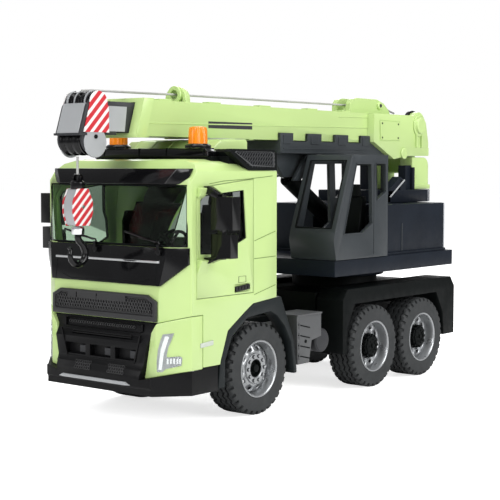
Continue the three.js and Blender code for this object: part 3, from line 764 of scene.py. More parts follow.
def fit_rear_wheel(number, y, side, flip):
    body = f"rear_wheels_{number}"
    tag = f"{number}_{side}"
    tyre = piece(f"treaded_rear_tyre_{tag}", flip(tyre_shape(y)), rubber, body)
    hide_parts(f"rear_tyre_{tag}")
    rim = piece(f"deep_rear_rim_{tag}", flip(barrel(y, 55.5, 52)), silver, body, 0.12)
    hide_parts(f"rear_rim_{tag}")
    disc = holed_disc(y, HAND_HOLES, 8.6, 16.3, 12.9, (1.2, 1.8), rear_dish)
    piece(f"rear_wheel_disc_{tag}", flip(disc), silver, body, thick=0.9)
    studs = nuts(y, WHEEL_NUTS, 10.2, 52.6, 54.0, 0.75)
    piece(f"rear_wheel_nuts_{tag}", flip(studs), silver, body, 0.12)
    piece(f"rear_hub_{tag}", flip(rear_hub(y)), matte_black, body, 0.12)


for number, axle_y in enumerate(REAR_AXLES, start=1):
    for side, flip in SIDES:
        fit_rear_wheel(number, axle_y, side, flip)
print("rear axles at", REAR_AXLES)

# %% [markdown]
# ## Honeycomb
# Grilles and air intakes are open honeycomb. Each cell is a hexagon with a smaller hexagon cut out, made
# as six quads. Cells share their outer edges, so welding them gives one lattice, and Solidify gives it
# depth. A bump map would be lighter, but it has no walls to catch the light from the side.


# %% Honeycomb lattice
def honeycomb(place, width, height, cell, wall, inside=None):
    """A flat lattice in a width by height field. place turns (u, v) into a point on the truck."""
    corners, faces = [], []
    outer = cell / sqrt(3)
    inner = outer * (1 - wall)
    rise = cell * sqrt(3) / 2
    rows, columns = int(height / rise) + 1, int(width / cell) + 1
    for row in range(rows):
        v = (row - (rows - 1) / 2) * rise
        for column in range(columns):
            u = (column - (columns - 1) / 2 + (row % 2) / 2) * cell
            if abs(u) + outer > width / 2 or abs(v) + outer > height / 2:
                continue
            if inside and not inside(u, v):
                continue
            base = len(corners)
            for k in range(6):
                angle = tau * (k + 0.5) / 6
                corners.append(place(u + outer * cos(angle), v + outer * sin(angle)))
                corners.append(place(u + inner * cos(angle), v + inner * sin(angle)))
            for k in range(6):
                a, b = base + 2 * k, base + 2 * ((k + 1) % 6)
                faces.append((a, b, b + 1, a + 1))
    return corners, faces


print("a small lattice has", len(honeycomb(lambda u, v: (u, 0, v), 9, 9, 2, 0.3)[1]), "faces")

# %% [markdown]
# ## Borders
# Windows, intakes and seals have a narrow raised frame. Inset Faces makes one by hand. This helper
# shrinks an outline towards its middle and builds the strip between the two, so any outline can get a
# frame.


# %% Frames that follow an outline
def frame_of(outline, width):
    """The same outline, drawn in by about a width towards its middle."""
    cu = sum(u for u, v in outline) / len(outline)
    cv = sum(v for u, v in outline) / len(outline)
    drawn = []
    for u, v in outline:
        reach = hypot(u - cu, v - cv)
        drawn.append((u - (u - cu) / reach * width, v - (v - cv) / reach * width))
    return drawn


def border(axis, outline, width, low, high):
    """A raised border strip that follows an outline."""
    place = AXIS_PLACE[axis]
    inner = frame_of(outline, width)
    count = len(outline)
    corners, faces = [], []
    for level in (low, high):
        corners += [place(u, v, level) for u, v in outline] + [place(u, v, level) for u, v in inner]
    for i in range(count):
        j = (i + 1) % count
        top = 2 * count
        faces += [(i, j, count + j, count + i), (top + i, top + j, top + count + j, top + count + i),
                  (i, j, top + j, top + i), (count + i, count + j, top + count + j, top + count + i)]
    return corners, faces


print("a square border has", len(border("x", [(0, 0), (9, 0), (9, 9), (0, 9)], 1, 0, 1)[1]), "faces")

# %% [markdown]
# ## The face of the cab
# The front leans back in steps, so every trim piece needs to know where the skin is at its height. Trim
# could be snapped on by hand or with Shrinkwrap. One short function gives the place exactly, and the trim
# follows it. The panel is gloss black with a bright strip across it.

# %% Where the front skin is
FRONT_LINE = [(36, -80.5), (84, -79.5), (111.5, -75.9), (149, -69.5), (163.5, -58.5)]


def front_at(z):
    for (z0, y0), (z1, y1) in zip(FRONT_LINE, FRONT_LINE[1:]):
        if z <= z1:
            return y0 + (y1 - y0) * (z - z0) / (z1 - z0)
    return FRONT_LINE[-1][1]


PANEL_PROUD = 1.6
strip_y = front_at(102.6) - PANEL_PROUD
strip = prism("z", [(-44.6, strip_y - 0.7), (44.6, strip_y - 0.7), (45.4, strip_y), (45.2, strip_y + 0.9),
                    (-45.2, strip_y + 0.9), (-45.4, strip_y)], 101.9, 103.3)
piece("panel_bright_strip", strip, chrome, "chassis", 0.25)
print("strip at y", round(strip_y, 2))

# %% [markdown]
# ## Windscreen gasket and panel seams
# A rubber gasket runs round the screen and past the slanted corners, and fine seams divide the black
# panel. Both are thin bars laid on the skin, which reads better at this size than cut grooves.

# %% Windscreen gasket and panel seams
CORNER_HALF, CORNER_WIDTH, CORNER_BACK = 45.5, 16.5, -68


def skin(x, z, out=0.0):
    """The front skin at this place, round the slanted corners too."""
    front = front_at(z)
    share = max(0, abs(x) - CORNER_HALF) / CORNER_WIDTH
    return (x, front + share * (CORNER_BACK - front) - out, z)


gasket_xs = [-59.4, -45.5, 45.5, 59.4]
gasket_loop = [skin(x, 112, 0.1) for x in gasket_xs] + [skin(x, 148.6, 0.1) for x in reversed(gasket_xs)]
gasket = bar([*gasket_loop, gasket_loop[0]], 0.75, 10)
piece("windscreen_gasket", gasket, matte_black, "chassis")

seam_z = [88.9, 96, 101.4]
seam_lines = [[(x, z) for z in seam_z] for x in (-43.4, 43.4)]
seam_lines.append([(-38, 92), (-30, 89.6), (30, 89.6), (38, 92)])
panel_seams = [bar([skin(x, z, PANEL_PROUD) for x, z in line], 0.22, 8) for line in seam_lines]
piece("panel_seams", joined(*panel_seams), matte_black, "chassis")
print("gasket turns", len(gasket_loop))

# %% [markdown]
# ## Wipers
# Two wipers park under the screen. Each is a hub, a knuckle, a bent arm and a blade, joined into one
# piece because they share one plastic and never move.


# %% Two wipers
def wiper(x, reach):
    hub = rod("y", (x, 108.6), 1.9, front_at(108.6) - PANEL_PROUD - 2.2, front_at(108.6) - PANEL_PROUD + 0.4)
    knuckle = block((x - 1, x + 1), (front_at(109) - 4, front_at(109) - 2), (107.5, 113.4))
    elbow = (x + reach * 0.08, front_at(115) - 2.3, 114.6)
    tip = (x + reach, front_at(118) - 1.8, 116.6)
    arm = bar([(x, front_at(113) - 2.6, 112.6), elbow, tip], 0.55, 8)
    blade_ends = [(x + reach * share, front_at(114.5) - 1.1, 113.4 + 4.2 * share) for share in (0.25, 1.6)]
    blade = bar(blade_ends, 0.7, 8)
    return joined(hub, knuckle, arm, blade)


WIPER_PIVOTS, WIPER_REACH = (-8.6, 45.2), -19
wipers = joined(*[wiper(x, WIPER_REACH) for x in WIPER_PIVOTS])
piece("wipers", wipers, gloss_black, "chassis", 0.15)
print("wipers park at x", WIPER_PIVOTS)

# %% [markdown]
# ## Grille
# The upper grille is a strip of honeycomb with three plain plates over its top edge. The lattice fills
# only the cells whose centre is inside the grille, so that it narrows towards the top as the grille does.

# %% Grille: honeycomb behind three plates
GRILLE_FACE, GRILLE_Z = -82.1, 75.4


def grille_field(u, v):
    return (u, GRILLE_FACE + 0.75, GRILLE_Z + v)


def in_grille(u, v):
    return abs(u) + max(0, v) * 1.6 < 44


cells = honeycomb(grille_field, 85, 10.6, 2.3, 0.3, in_grille)
piece("grille_honeycomb", cells, grille_black, "chassis", thick=0.7)
grille_plates = [block((x0, x1), (GRILLE_FACE + 0.05, GRILLE_FACE + 1.3), (77.4, 81.2))
                 for x0, x1 in ((-31, -23.5), (-22.6, -5.6), (-4.7, 20))]
piece("grille_plates", joined(*grille_plates), grille_black, "chassis", 0.2)
print("grille corners", len(cells[0]))

# %% [markdown]
# ## Bumper
# The bumper is one deep black moulding. It has a honeycomb strip under the grille, a slot, three air
# intakes with blocks behind them, two small honeycomb squares low down and a bright skid edge. The big
# openings are in the CAD piece already, so only the fine relief is added here.


# %% Bumper trim
def bumper_y(z):
    return -79.2 - 1.2 * (65.6 - z) / 7.6 if z > 58 else -80.4 - 3.6 * (58 - max(z, 53)) / 5


top_cells = honeycomb(lambda u, v: (u - 2, bumper_y(62 + v) - 0.35, 62 + v), 62, 4.6, 2.0, 0.3)
piece("bumper_upper_honeycomb", top_cells, grille_black, "chassis", thick=0.8)
top_frame = [(-34, 59.2), (31, 59.2), (34, 60.2), (34, 64.4), (-34, 64.4)]
upper_border = border("y", top_frame, 0.9, -81.4, -79.6)
slot_bars = [block((-25.5, 25.5), (-82.4, -81.4), (z, z + 0.7)) for z in (55.2, 56.4)]
recess_frame = [(-35, 58), (35, 58), (30, 40.4), (-30, 40.4)]
recess_border = border("y", recess_frame, 1.1, -84.5, -83.4)
chin_lines = [block((x - 0.35, x + 0.35), (-85.6, -84.2), (35.4, 38.6)) for x in (-20, 8)]
piece("bumper_ribs", joined(upper_border, recess_border, *slot_bars, *chin_lines), bumper_black, "chassis",
      0.15)
intake_blocks = [block((x + 1.5, x + 7.5), (-81.6, -80.2), (42.8, 47.6)) for x in (-22, 0, 22)]
piece("bumper_intake_blocks", joined(*intake_blocks), dark_grey, "chassis", 0.3)


def low_cells(middle):
    return honeycomb(lambda u, v: (middle + u, -87.15 + max(0, v + 2) * 3 / 7, 36 + v), 15, 8.6, 2.0, 0.3)


piece("bumper_lower_honeycomb", joined(low_cells(-13), low_cells(16)), grille_black, "chassis", thick=0.7)
skid_outline = [(-34, 27.4), (-30, 29.2), (25, 29.2), (29, 27.4), (25, 27.0), (-30, 27.0)]
skid = prism("y", skid_outline, -87.9, -86.6)
piece("bumper_skid_edge", skid, light_silver, "chassis", 0.5)
print("bumper trim done")

# %% [markdown]
# ## Headlights
# Each lamp is an L: a tall blade of clear plastic that narrows downwards, with a foot that points
# outwards. A bright reflector and a row of small ribs sit behind the lens. The lamp lies on the slanted
# corner. Turning an object into that plane would work, but here the outline is drawn flat and laid on the
# corner by a helper.

# %% Lamps on the slanted corner
CORNER_A = (45.5, -82.0)
CORNER_B = (62.0, -68.0)
corner_run = hypot(CORNER_B[0] - CORNER_A[0], CORNER_B[1] - CORNER_A[1])
along_x = (CORNER_B[0] - CORNER_A[0]) / corner_run
along_y = (CORNER_B[1] - CORNER_A[1]) / corner_run


def on_corner(x, z, out):
    """A point on the slanted corner at this x and height, pushed outwards by out."""
    share = (x - CORNER_A[0]) / along_x
    return (x + out * along_y, CORNER_A[1] + share * along_y - out * along_x, z)


def corner_plate(outline, low, high):
    count = len(outline)
    corners = [on_corner(x, z, low) for x, z in outline] + [on_corner(x, z, high) for x, z in outline]
    faces = [(i, (i + 1) % count, (i + 1) % count + count, i + count) for i in range(count)]
    return corners, [*faces, tuple(range(count)), tuple(range(2 * count - 1, count - 1, -1))]


print("lamp corner plane", round(corner_run, 2), "mm wide")

# %% [markdown]
# ## Layers of a lamp
# A lamp looks deep because it has layers: a silver bed, bright ribs on it, and a clear lens just in
# front. The same outline serves for the bed and the lens. The washer cover and the side marker go with
# it.

# %% The layers of the lamps
lamp_outline = [(48.7, 59.4), (53.9, 60.2), (52.6, 56), (51.2, 51.5), (50.4, 47), (50.6, 45.6),
                (56.6, 46.2), (57.6, 45.2), (57.2, 40.6), (50, 38.6), (48.4, 36.6), (45.9, 36.9),
                (45.9, 44), (46.4, 50), (47.5, 55.5)]
lamp_bed = corner_plate(lamp_outline, -0.1, 0.18)
lamp_reflectors = joined(
    corner_plate([(46.6, 38), (48.2, 38), (49.2, 48), (51.6, 58), (49.6, 58.4), (47.6, 50)], 0.15, 0.5),
    *[corner_plate([(x, 41.4), (x + 0.9, 41.6), (x + 0.9, 45), (x, 44.8)], 0.15, 0.6)
      for x in (50.4, 51.9, 53.4, 54.9, 56.1)],
)
lamp_lens = corner_plate(lamp_outline, 0.62, 0.95)
washer = border("y", [(42.9, 51.6), (45, 51.6), (45, 55.4), (42.9, 55.4)], 0.35, -82.3, -81.9)
marker_outline = [(-60.6, 50.2), (-48.8, 51), (-48.8, 54), (-60.6, 53)]
marker_lens = prism("x", marker_outline, 61.9, 62.7)
for side, flip in SIDES:
    piece(f"lamp_bed_{side}", flip(lamp_bed), silver, "chassis")
    piece(f"lamp_reflectors_{side}", flip(lamp_reflectors), chrome, "chassis", 0.1)
    piece(f"lamp_lens_{side}", flip(lamp_lens), lens_clear, "chassis", 0.1)
    piece(f"washer_cap_{side}", flip(washer), lime, "chassis")
    piece(f"marker_lens_{side}", flip(marker_lens), marker_plastic, "chassis", 0.25)
print("lamp outline", len(lamp_outline), "corners")

# %% [markdown]
# ## Doors and mirrors
# The door glass is a thin tinted pane set in a black seal. The handle is a dark grip in its recess. Two
# green brackets hold the mirror arms. Adding them as low pieces keeps the door's own mesh whole. All of
# it opens with the door, so it rides on the door's body.

# %% Door glass, handles and mirror parts
window = [(-60, 107), (-41, 106), (-16, 115), (-18.5, 145.3), (-56.5, 142.6), (-60, 139.5)]
glass_pane = prism("x", frame_of(window, -0.2), 59.4, 60.2)
window_seal = border("x", window, 0.9, 59.2, 61.2)
grip_outline = [(-27.1, 82), (-26.4, 81.8), (-12.9, 82.8), (-12.9, 85.6), (-14, 86.2), (-27.1, 85.2)]
grip = prism("x", grip_outline, 61.2, 62.5)
grip_ribs = [block((62.3, 62.9), (y, y + 0.8), (82.9, 85.2)) for y in (-24.5, -21.5, -18.5, -15.5)]
lower_mount = prism("y", [(61.6, 93.8), (64.6, 100.6), (66.4, 103.4), (61.6, 104.2)], -63.2, -54.2)
upper_mount = prism("y", [(61.6, 140.4), (64.2, 142.2), (65.8, 147), (61.6, 147.6)], -63, -57.8)
upper_glass = prism("y", [(68, 123), (83, 123), (83, 141), (68, 141)], -49.4, -48.7)
lower_glass = prism("y", [(68, 106), (81.5, 106), (81.5, 118.5), (68, 118.5)], -49.9, -49.2)
recess_line = border("x", [(-24, 87.4), (-16.6, 87.4), (-16.6, 91.4), (-24, 91.4)], 0.35, 61.8, 62.12)
for side, flip in SIDES:
    body = f"{side}_door"
    piece(f"door_glass_{side}", flip(glass_pane), door_glass, body)
    piece(f"door_seal_{side}", flip(window_seal), matte_black, body)
    piece(f"door_handle_{side}", flip(joined(grip, *grip_ribs)), gloss_black, body, 0.25)
    piece(f"handle_recess_{side}", flip(recess_line), matte_black, body)
    piece(f"mirror_mounts_{side}", flip(joined(lower_mount, upper_mount)), lime, body, 0.5)
    piece(f"mirror_glass_{side}", flip(joined(upper_glass, lower_glass)), chrome, body, 0.2)
print("doors fitted")

# %% [markdown]
# ## Seams on the cab's side
# Shallow steps in the moulding show as dark lines behind the door. Cutting them would need a new cab
# shell, so each is a thin bar, in a darker lime than the body, that stands for the shade in the step.

# %% Seams on the cab's side
side_seams = [[(-8.1, 113), (13.5, 118.4)], [(-8.2, 101.7), (13.8, 102.2)], [(-8.2, 78.8), (13.8, 83.6)],
              [(-52, 149.5), (-38.6, 151.1), (-11.4, 152.4), (10.3, 154.1)]]
seam_lime = moulded("shaded_seam_plastic", (0.12, 0.19, 0.05), 0.6, 0.05, 0.01, shine=0.2)
seam_bars = [bar([(61.98, y, z) for y, z in line], 0.24, 8) for line in side_seams]
piece("cab_side_seams", both_sides(joined(*seam_bars)), seam_lime, "chassis")
print("side seams", len(side_seams))

# %% [markdown]
# ## The shaded liner
# Far inside, the lime cab turns a deep green in its own shade. This liner is no part of the toy. It is a
# dark green skin behind the seats and under the roof that stands in for that shade, because the bright
# room reaches too far into the cab.

# %% Liner for the shade
liner_green = moulded("shaded_liner_plastic", (0.02, 0.1, 0.012), 0.5, 0.05, 0.01, shine=0.3)
rear_liner = joined(
    block((-55, -34.5), (10.6, 12.2), (92, 157)), block((34.5, 55), (10.6, 12.2), (92, 157)),
    block((-34.5, 34.5), (10.6, 12.2), (92, 117.5)), block((-34.5, 34.5), (10.6, 12.2), (146.5, 157)),
    block((-55, 55), (-50, 11), (157.6, 158.8)),
)
piece("cab_rear_liner", rear_liner, liner_green, "chassis", 0.3)
print("liner faces", len(rear_liner[1]))

# %% [markdown]
# ## Inside the cab
# Through the screen you see a dark dashboard, a steering wheel and two seats. The CAD insert gives the
# masses, and the parts whose outline shows are added. The wheel's column leans, so a helper turns flat
# wheel coordinates into that plane.

# %% Steering wheel
WHEEL_CENTRE = Vector((32, -54, 113))
COLUMN_TILT = radians(52)


def tilted(u, v, w):
    """A point on the tilted steering wheel: u across, v up its face, w along the column."""
    y = WHEEL_CENTRE.y + v * cos(COLUMN_TILT) + w * sin(COLUMN_TILT)
    z = WHEEL_CENTRE.z + v * sin(COLUMN_TILT) - w * cos(COLUMN_TILT)
    return (WHEEL_CENTRE.x + u, y, z)


rim_loop = [tilted(10.5 * cos(tau * i / 28), 10.5 * sin(tau * i / 28), 0) for i in range(29)]
spokes = [bar([tilted(0, 0, -0.6), tilted(10 * cos(a), 10 * sin(a), 0)], 0.9, 8)
          for a in (radians(200), radians(340), radians(90))]
column = bar([tilted(0, 0, 0.8), tilted(0, 0, -10)], 1.6, 12)
steering_wheel = joined(bar(rim_loop, 1.0, 10), *spokes, column)
piece("steering_wheel", steering_wheel, matte_black, "chassis")
print("steering wheel", len(rim_loop) - 1, "steps round")

# %% [markdown]
# ## Seats and console
# The seats get a headrest and side bolsters, because their outline shows against the back wall. The
# console closes the dashboard's edge under the screen.

# %% Seat parts and console
headrest = prism("y", [(24, 133), (40, 133), (42, 136), (40, 145), (24, 145), (22, 136)], -8, -3.4)
bolster = joined(block((17.5, 20.5), (-16, -7), (97, 130)), block((43.5, 46.5), (-16, -7), (97, 130)))
seat_parts = both_sides(joined(headrest, bolster))
piece("cab_seat_parts", seat_parts, matte_black, "chassis", 1.1)
console = prism("x", [(-69, 104), (-66, 110.8), (-60, 110.8), (-58, 106), (-58, 100)], -24, 24)
piece("dash_console", console, dark_grey, "chassis", 0.8)
print("cab inside fitted")

# %% [markdown]
# ## Beacons
# The beacons are fluted amber cups. Flutes could be cut with an array of cylinders, but a turned profile
# whose radius ripples sixteen times round makes them in one mesh. A gloss black collar carries each cup.

# %% Beacons
BEACON_X, BEACON_Y = 35, -31.5


def beacon_cup():
    sides, flutes = 96, 16
    profile = [(6.1, 174.2), (6.0, 178), (5.85, 183), (5.3, 184.6), (3.6, 185.1), (0, 185.2)]
    corners, faces = [], []
    for i in range(sides):
        angle = tau * i / sides
        ripple = 0.28 * abs(sin(angle * flutes / 2))
        for radius, z in profile:
            r = radius - ripple * (1 if z < 184 and radius > 5 else 0)
            corners.append((BEACON_X + r * cos(angle), BEACON_Y + r * sin(angle), z))
    count = len(profile)
    for i in range(sides):
        a, b = i * count, ((i + 1) % sides) * count
        faces += [(a + j, a + j + 1, b + j + 1, b + j) for j in range(count - 1)]
    faces.append(tuple(i * count for i in range(sides)))
    return corners, faces


base_collar = turned("z", [(0, 171.6), (8.4, 171.6), (8.4, 173.2), (7.0, 174.3), (0, 174.3)],
                     (BEACON_X, BEACON_Y), 40)
for side, flip in SIDES:
    cup = piece(f"fluted_beacon_{side}", flip(beacon_cup()), amber, "chassis")
    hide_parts(f"beacon_{side}")
    piece(f"beacon_base_{side}", flip(base_collar), gloss_black, "chassis", 0.25)
print("beacon cups at x", BEACON_X)

# %% [markdown]
# ## Light bar and fairing
# The light bar is split by fine seams and stands on a dark skirt, and the intake pods have feet. The
# fairing behind it carries five low ribs. All are plain blocks or prisms, with a round edge where it
# shows.

# %% Light bar seams and fairing ribs
bar_seams = [block((x - 0.25, x + 0.25), (-36.3, -26.7), (166.6, 171.7)) for x in (-44, -12, 12, 44)]
bar_skirt = block((-49, 49), (-35, -27.5), (162.4, 166.3))
pod_feet = both_sides(block((44, 56.5), (-27, 10), (160, 166.3)))
piece("light_bar_skirt", joined(bar_skirt, pod_feet), matte_black, "chassis", 0.3)
piece("light_bar_seams", joined(*bar_seams), matte_black, "chassis")
fairing_ribs = [prism("x", [(-24.6, 170.2), (-15, 177.1), (10.8, 178.3), (10.8, 177.4), (-15, 176.2),
                            (-24, 169.6)], x - 0.7, x + 0.7) for x in (-30, -15, 0, 15, 30)]
piece("fairing_ribs", joined(*fairing_ribs), lime, "chassis", 0.25)
print("fairing ribs", len(fairing_ribs))

# %% [markdown]
# ## Intake mesh
# The intakes beside the fairing have a mesh in a pale border. Their front edge leans, so a bar cannot
# simply run from bottom to top. Each one is sampled along its way, and only the stretch inside the frame
# is kept. One set of bars is slanted and the other is upright.

# %% Mesh of the intakes
pod_outline = [(-30, 169.2), (-28.4, 170), (11, 170), (13.8, 168.6), (13.8, 159), (-13, 159)]
field = frame_of(pod_outline, 2.2)
MESH_OUT = 62.15
MESH_FOOT, MESH_RISE, MESH_PITCH = 159.6, 9.6, 2.6


def mesh_stretch(start, lean):
    """The part of one mesh bar that lies inside the frame. lean is how far its top is moved back."""
    inside = []
    for i in range(13):
        share = i / 12
        y, z = start + lean * share, MESH_FOOT + MESH_RISE * share
        front_edge = -13 - (z - 159) * 1.55 + 1.4
        if front_edge < y < 12.8:
            inside.append((MESH_OUT, y, z))
    return inside


weave = []
for lean in (MESH_RISE, 0):
    for step in range(-4, 22):
        stretch = mesh_stretch(-34 + step * MESH_PITCH, lean)
        if len(stretch) > 1:
            weave.append(bar([stretch[0], stretch[-1]], 0.32, 6))
pod_border = border("x", field, 0.8, 61.7, 62.5)
for side, flip in SIDES:
    piece(f"intake_mesh_{side}", flip(joined(*weave)), dark_grey, "chassis")
    piece(f"intake_border_{side}", flip(pod_border), mid_grey, "chassis", 0.15)
print("intake bars", len(weave))

# %% [markdown]
# ## Chassis trim
# The step box has four slanted treads on its outer side, with slots beside them, and a round tank behind
# it with two straps and a domed end. Thin bars and turned rings on the CAD box are enough for that.

# %% Step treads and tank straps
treads = [bar([(57.72, 44.6, z + 3), (57.72, 57.6, z)], 0.42, 8) for z in (30, 37, 44, 51)]
face_bolt = rod("x", (53, 42), 1.2, 57.2, 58.0, 20)
edge_slots = [block((57.2, 58.1), (45.2, 46.4), (z, z + 4.6)) for z in (30, 37, 44, 51)]
step_lip = block((36.4, 58.2), (43.2, 71.6), (59.4, 60.6))
tank_end = turned("x", [(0, 50), (8.3, 50), (8.3, 54.4), (7.2, 55.4), (3, 55.8), (0, 55.8)], (76, 40), 36)
straps = [turned("x", [(8.05, x), (8.5, x), (8.5, x + 2), (8.05, x + 2)], (76, 40), 32) for x in (36, 45)]
for side, flip in SIDES:
    piece(f"step_lips_{side}", flip(joined(*edge_slots, step_lip)), mid_grey, "chassis", 0.15)
    piece(f"step_treads_{side}", flip(joined(*treads, face_bolt)), matte_black, "chassis")
    piece(f"tank_straps_{side}", flip(joined(tank_end, *straps)), dark_grey, "chassis", 0.1)
print("steps", len(treads))

# %% [markdown]
# ## Crane cab
# The crane's own cab is open. Inside are a seat, a console and two levers, and its windows have pale
# frames. The seat is three side outlines given width, which is quicker than sculpting and right for a
# moulded seat.

# %% Operator's seat, levers and window frame
seat = joined(
    prism("x", [(118, 98), (118, 105), (120, 107), (134, 106), (136, 98)], 28, 49),
    prism("x", [(132, 105), (130, 112), (136, 138), (140, 139), (141, 136), (138, 105)], 29, 48),
    prism("x", [(135.5, 138), (136, 147), (139.5, 147.5), (140.5, 139)], 33, 44),
    block((33, 44), (122, 130), (97, 99)),
)
piece("operator_seat", seat, matte_black, "crane_turret", 1.0)
levers = joined(*[joined(bar([(x, 108, 97), (x, 110, 112)], 0.7, 8),
                         turned("z", [(0, 111), (1.5, 111.4), (1.7, 113), (1.2, 114.4), (0, 114.8)],
                                (x, 110.2), 16)) for x in (30, 46)])
console_box = prism("x", [(98, 97), (98, 108), (103, 110), (108, 104), (108, 97)], 26, 50)
piece("crane_levers", joined(levers, console_box), matte_black, "crane_turret", 0.3)
window_line = [(112.9, 162), (97.6, 113), (120.7, 113.2), (133, 119.5), (131, 162)]
quarter_line = [(138, 162.4), (150, 162.4), (150.6, 142), (139.4, 136.5)]
side_frames = joined(border("x", frame_of(window_line, -0.9), 0.9, 57.6, 58.5),
                     border("x", frame_of(quarter_line, -0.9), 0.9, 57.6, 58.5))
piece("crane_window_frames", side_frames, pale_slate, "crane_turret", 0.2)
pillar = bar([(57.7, 87.0, 114.6), (57.7, 107.6, 167.8)], 0.8, 10)
screen_loop = [(23, 87.9, 117), (54, 87.9, 117), (54, 106, 164.5), (23, 106, 164.5), (23, 87.9, 117)]
piece("crane_screen_bead", bar(screen_loop, 0.8, 10), matte_black, "crane_turret")
piece("crane_cab_pillar_bead", pillar, pale_slate, "crane_turret")
print("crane screen bead turns", len(screen_loop) - 1)

# %% [markdown]
# ## Engine house
# The engine house has pale ribs and, where the mould has a step, a light grey bead that paints the edge's
# highlight. The highlight could be a flat stripe, but a thin bar stands proud as the real edge does.

# %% Ribs and beads with a painted highlight
rib = bar([(53.05, 181.5, 97), (53.05, 181.5, 117.5)], 0.55, 10)
corner_bead = bar([(53.0, 243.7, 95.4), (53.0, 243.7, 131.6)], 0.55, 10)
weight_bead = bar([(31.0, 256.1, 132.8), (31.0, 256.1, 141.6)], 0.5, 10)
beads = both_sides(joined(corner_bead, weight_bead))
piece("house_side_ribs", both_sides(rib), pale_slate, "crane_turret")
# Painted highlight: the beads' light grey stands for the light caught on the step edges.
highlight_bead_paint = moulded("painted_highlight_plastic", (0.3, 0.31, 0.33), 0.4, 0.08, 0.02)
piece("house_highlight_beads", beads, highlight_bead_paint, "crane_turret")
print("bead faces", len(beads[1]))

# %% [markdown]
# ## Plinth and roof vent
# The engine house stands on a slightly wider plinth and has a slotted vent on its roof. Both are prisms
# with a small round edge.

# %% Plinth and roof vent
house_lip = prism("z", [(-54.5, 153), (54.5, 153), (54.5, 244.4), (48.5, 250.4), (-48.5, 250.4),
                        (-54.5, 244.4)], 94.4, 96.4)
piece("engine_house_plinth", house_lip, slate, "crane_turret", 0.4)
roof_panel = prism("z", [(-26, 160), (-14, 160), (-14, 186), (-26, 186)], 131.8, 133)
roof_slots = [block((x, x + 1.4), (163, 183), (132.6, 133.5)) for x in (-25, -22.4, -19.8, -17.2)]
piece("house_roof_vent", joined(roof_panel, *roof_slots), dark_grey, "crane_turret", 0.2)


print("roof slots", len(roof_slots))

# %% [markdown]
# ## Strut and bracket
# A strut leans on the house beside the counterweight, and a bracket stands at the boom's foot on each
# side. Along the strut's edge runs a bar of its own in light silver, a painted highlight of that edge, so
# that it keeps a clean border to the slate.

# %% Strut and post bracket
strut_plate = prism("x", [(196.5, 141.3), (213.9, 152.6), (219.9, 149.9), (198.5, 136.1)], 23.5, 31)
# Painted highlight: the light silver bar stands for the light caught on the strut's edge.
strut_highlight_bar = bar([(31.1, 198.9, 136.6), (31.1, 219.8, 149.8)], 0.7, 10)
strut_feet = joined(block((23.5, 31), (194, 200), (131.5, 139)), block((22.5, 31), (214, 222), (141.5, 150)))
piece("side_strut", joined(strut_plate, strut_feet), slate, "crane_turret", 0.3)
piece("side_strut_painted_highlight", strut_highlight_bar, light_silver, "crane_turret")
bracket = joined(block((15, 22), (236, 244.6), (141.8, 161.5)), block((22, 24.5), (243, 246.2), (141.8, 160)))
piece("post_bracket", both_sides(bracket), slate, "crane_turret", 0.3)
print("superstructure trimmed")

# %% [markdown]
# ## Boom
# The boom's sides carry a moulded crease, small pads along the top edge and two plain dark bars. They are
# so shallow that a groove or a decal would do. As thin prisms they keep a real edge, and they ride on the
# boom.

# %% Creases, pads and bars
BOOM_SIDE = 16.5
crease_low = [(-64, 186.5), (196, 190.1), (196, 190.9), (-64, 187.3)]
crease_high = [(150, 197.3), (196, 198.1), (196, 198.9), (150, 198.0)]
creases = [prism("x", line, BOOM_SIDE - 0.3, BOOM_SIDE + 0.4) for line in (crease_low, crease_high)]
pads = [block((9.5, 15.5), (y, y + 12), (201.2, 202.6)) for y in (-46, 2, 56, 112, 156)]
belly = [block((-15.5, 15.5), (y, y + 5), (178.2, 179.2)) for y in (-60, -8, 44)]
boom_lines = both_sides(joined(*creases, *pads))
piece("boom_creases_and_pads", joined(boom_lines, *belly), lime, "boom", 0.2)
dark_bars = [prism("x", [(0, z), (46, z + 0.2), (46, z + tall + 0.2), (0, z + tall)], BOOM_SIDE - 0.1,
                   BOOM_SIDE + 0.12) for z, tall in ((188.2, 1.5), (185.2, 2.4))]
piece("boom_plain_bars", both_sides(joined(*dark_bars)), dark_grey, "boom")
print("boom pads", len(pads), "and belly plates", len(belly))

# %% [markdown]
# ## Cover plate
# The tail housing has a cover plate with a seam round it and four screws. The plate is a prism with a
# round edge, and the seam is a border that follows the same outline a little further out.

# %% Cover plate and screws
cover = prism("x", [(198, 182), (199, 181), (224, 181.4), (225, 182.4), (225.2, 194.6), (224.2, 195.6),
                    (198, 196), (197, 195)], 22.3, 23.1)
cover_seam = border("x", [(196.4, 180.2), (225.9, 180.8), (226, 196.3), (196.4, 196.8)], 0.6, 22.3, 22.8)
piece("boom_cover_plates", both_sides(joined(cover, cover_seam)), lime, "boom", 0.25)
screw_places = [(199.6, 194), (222.8, 193.8), (222.6, 183), (199.8, 183)]
screws = [rod("x", place, 0.75, 22.9, 23.4, 6) for place in screw_places]
piece("boom_cover_screws", both_sides(joined(*screws)), matte_black, "boom")
print("cover screws on each side", len(screws))

# %% [markdown]
# ## Tail of the boom
# The rope runs over a hump and through a guide ring. A round cap covers the winch's axle, and bosses mark
# the pivots. The CAD has plainer versions of the ring and the hump, which these go over. Round parts are
# turned, and the hump is its side outline given width.

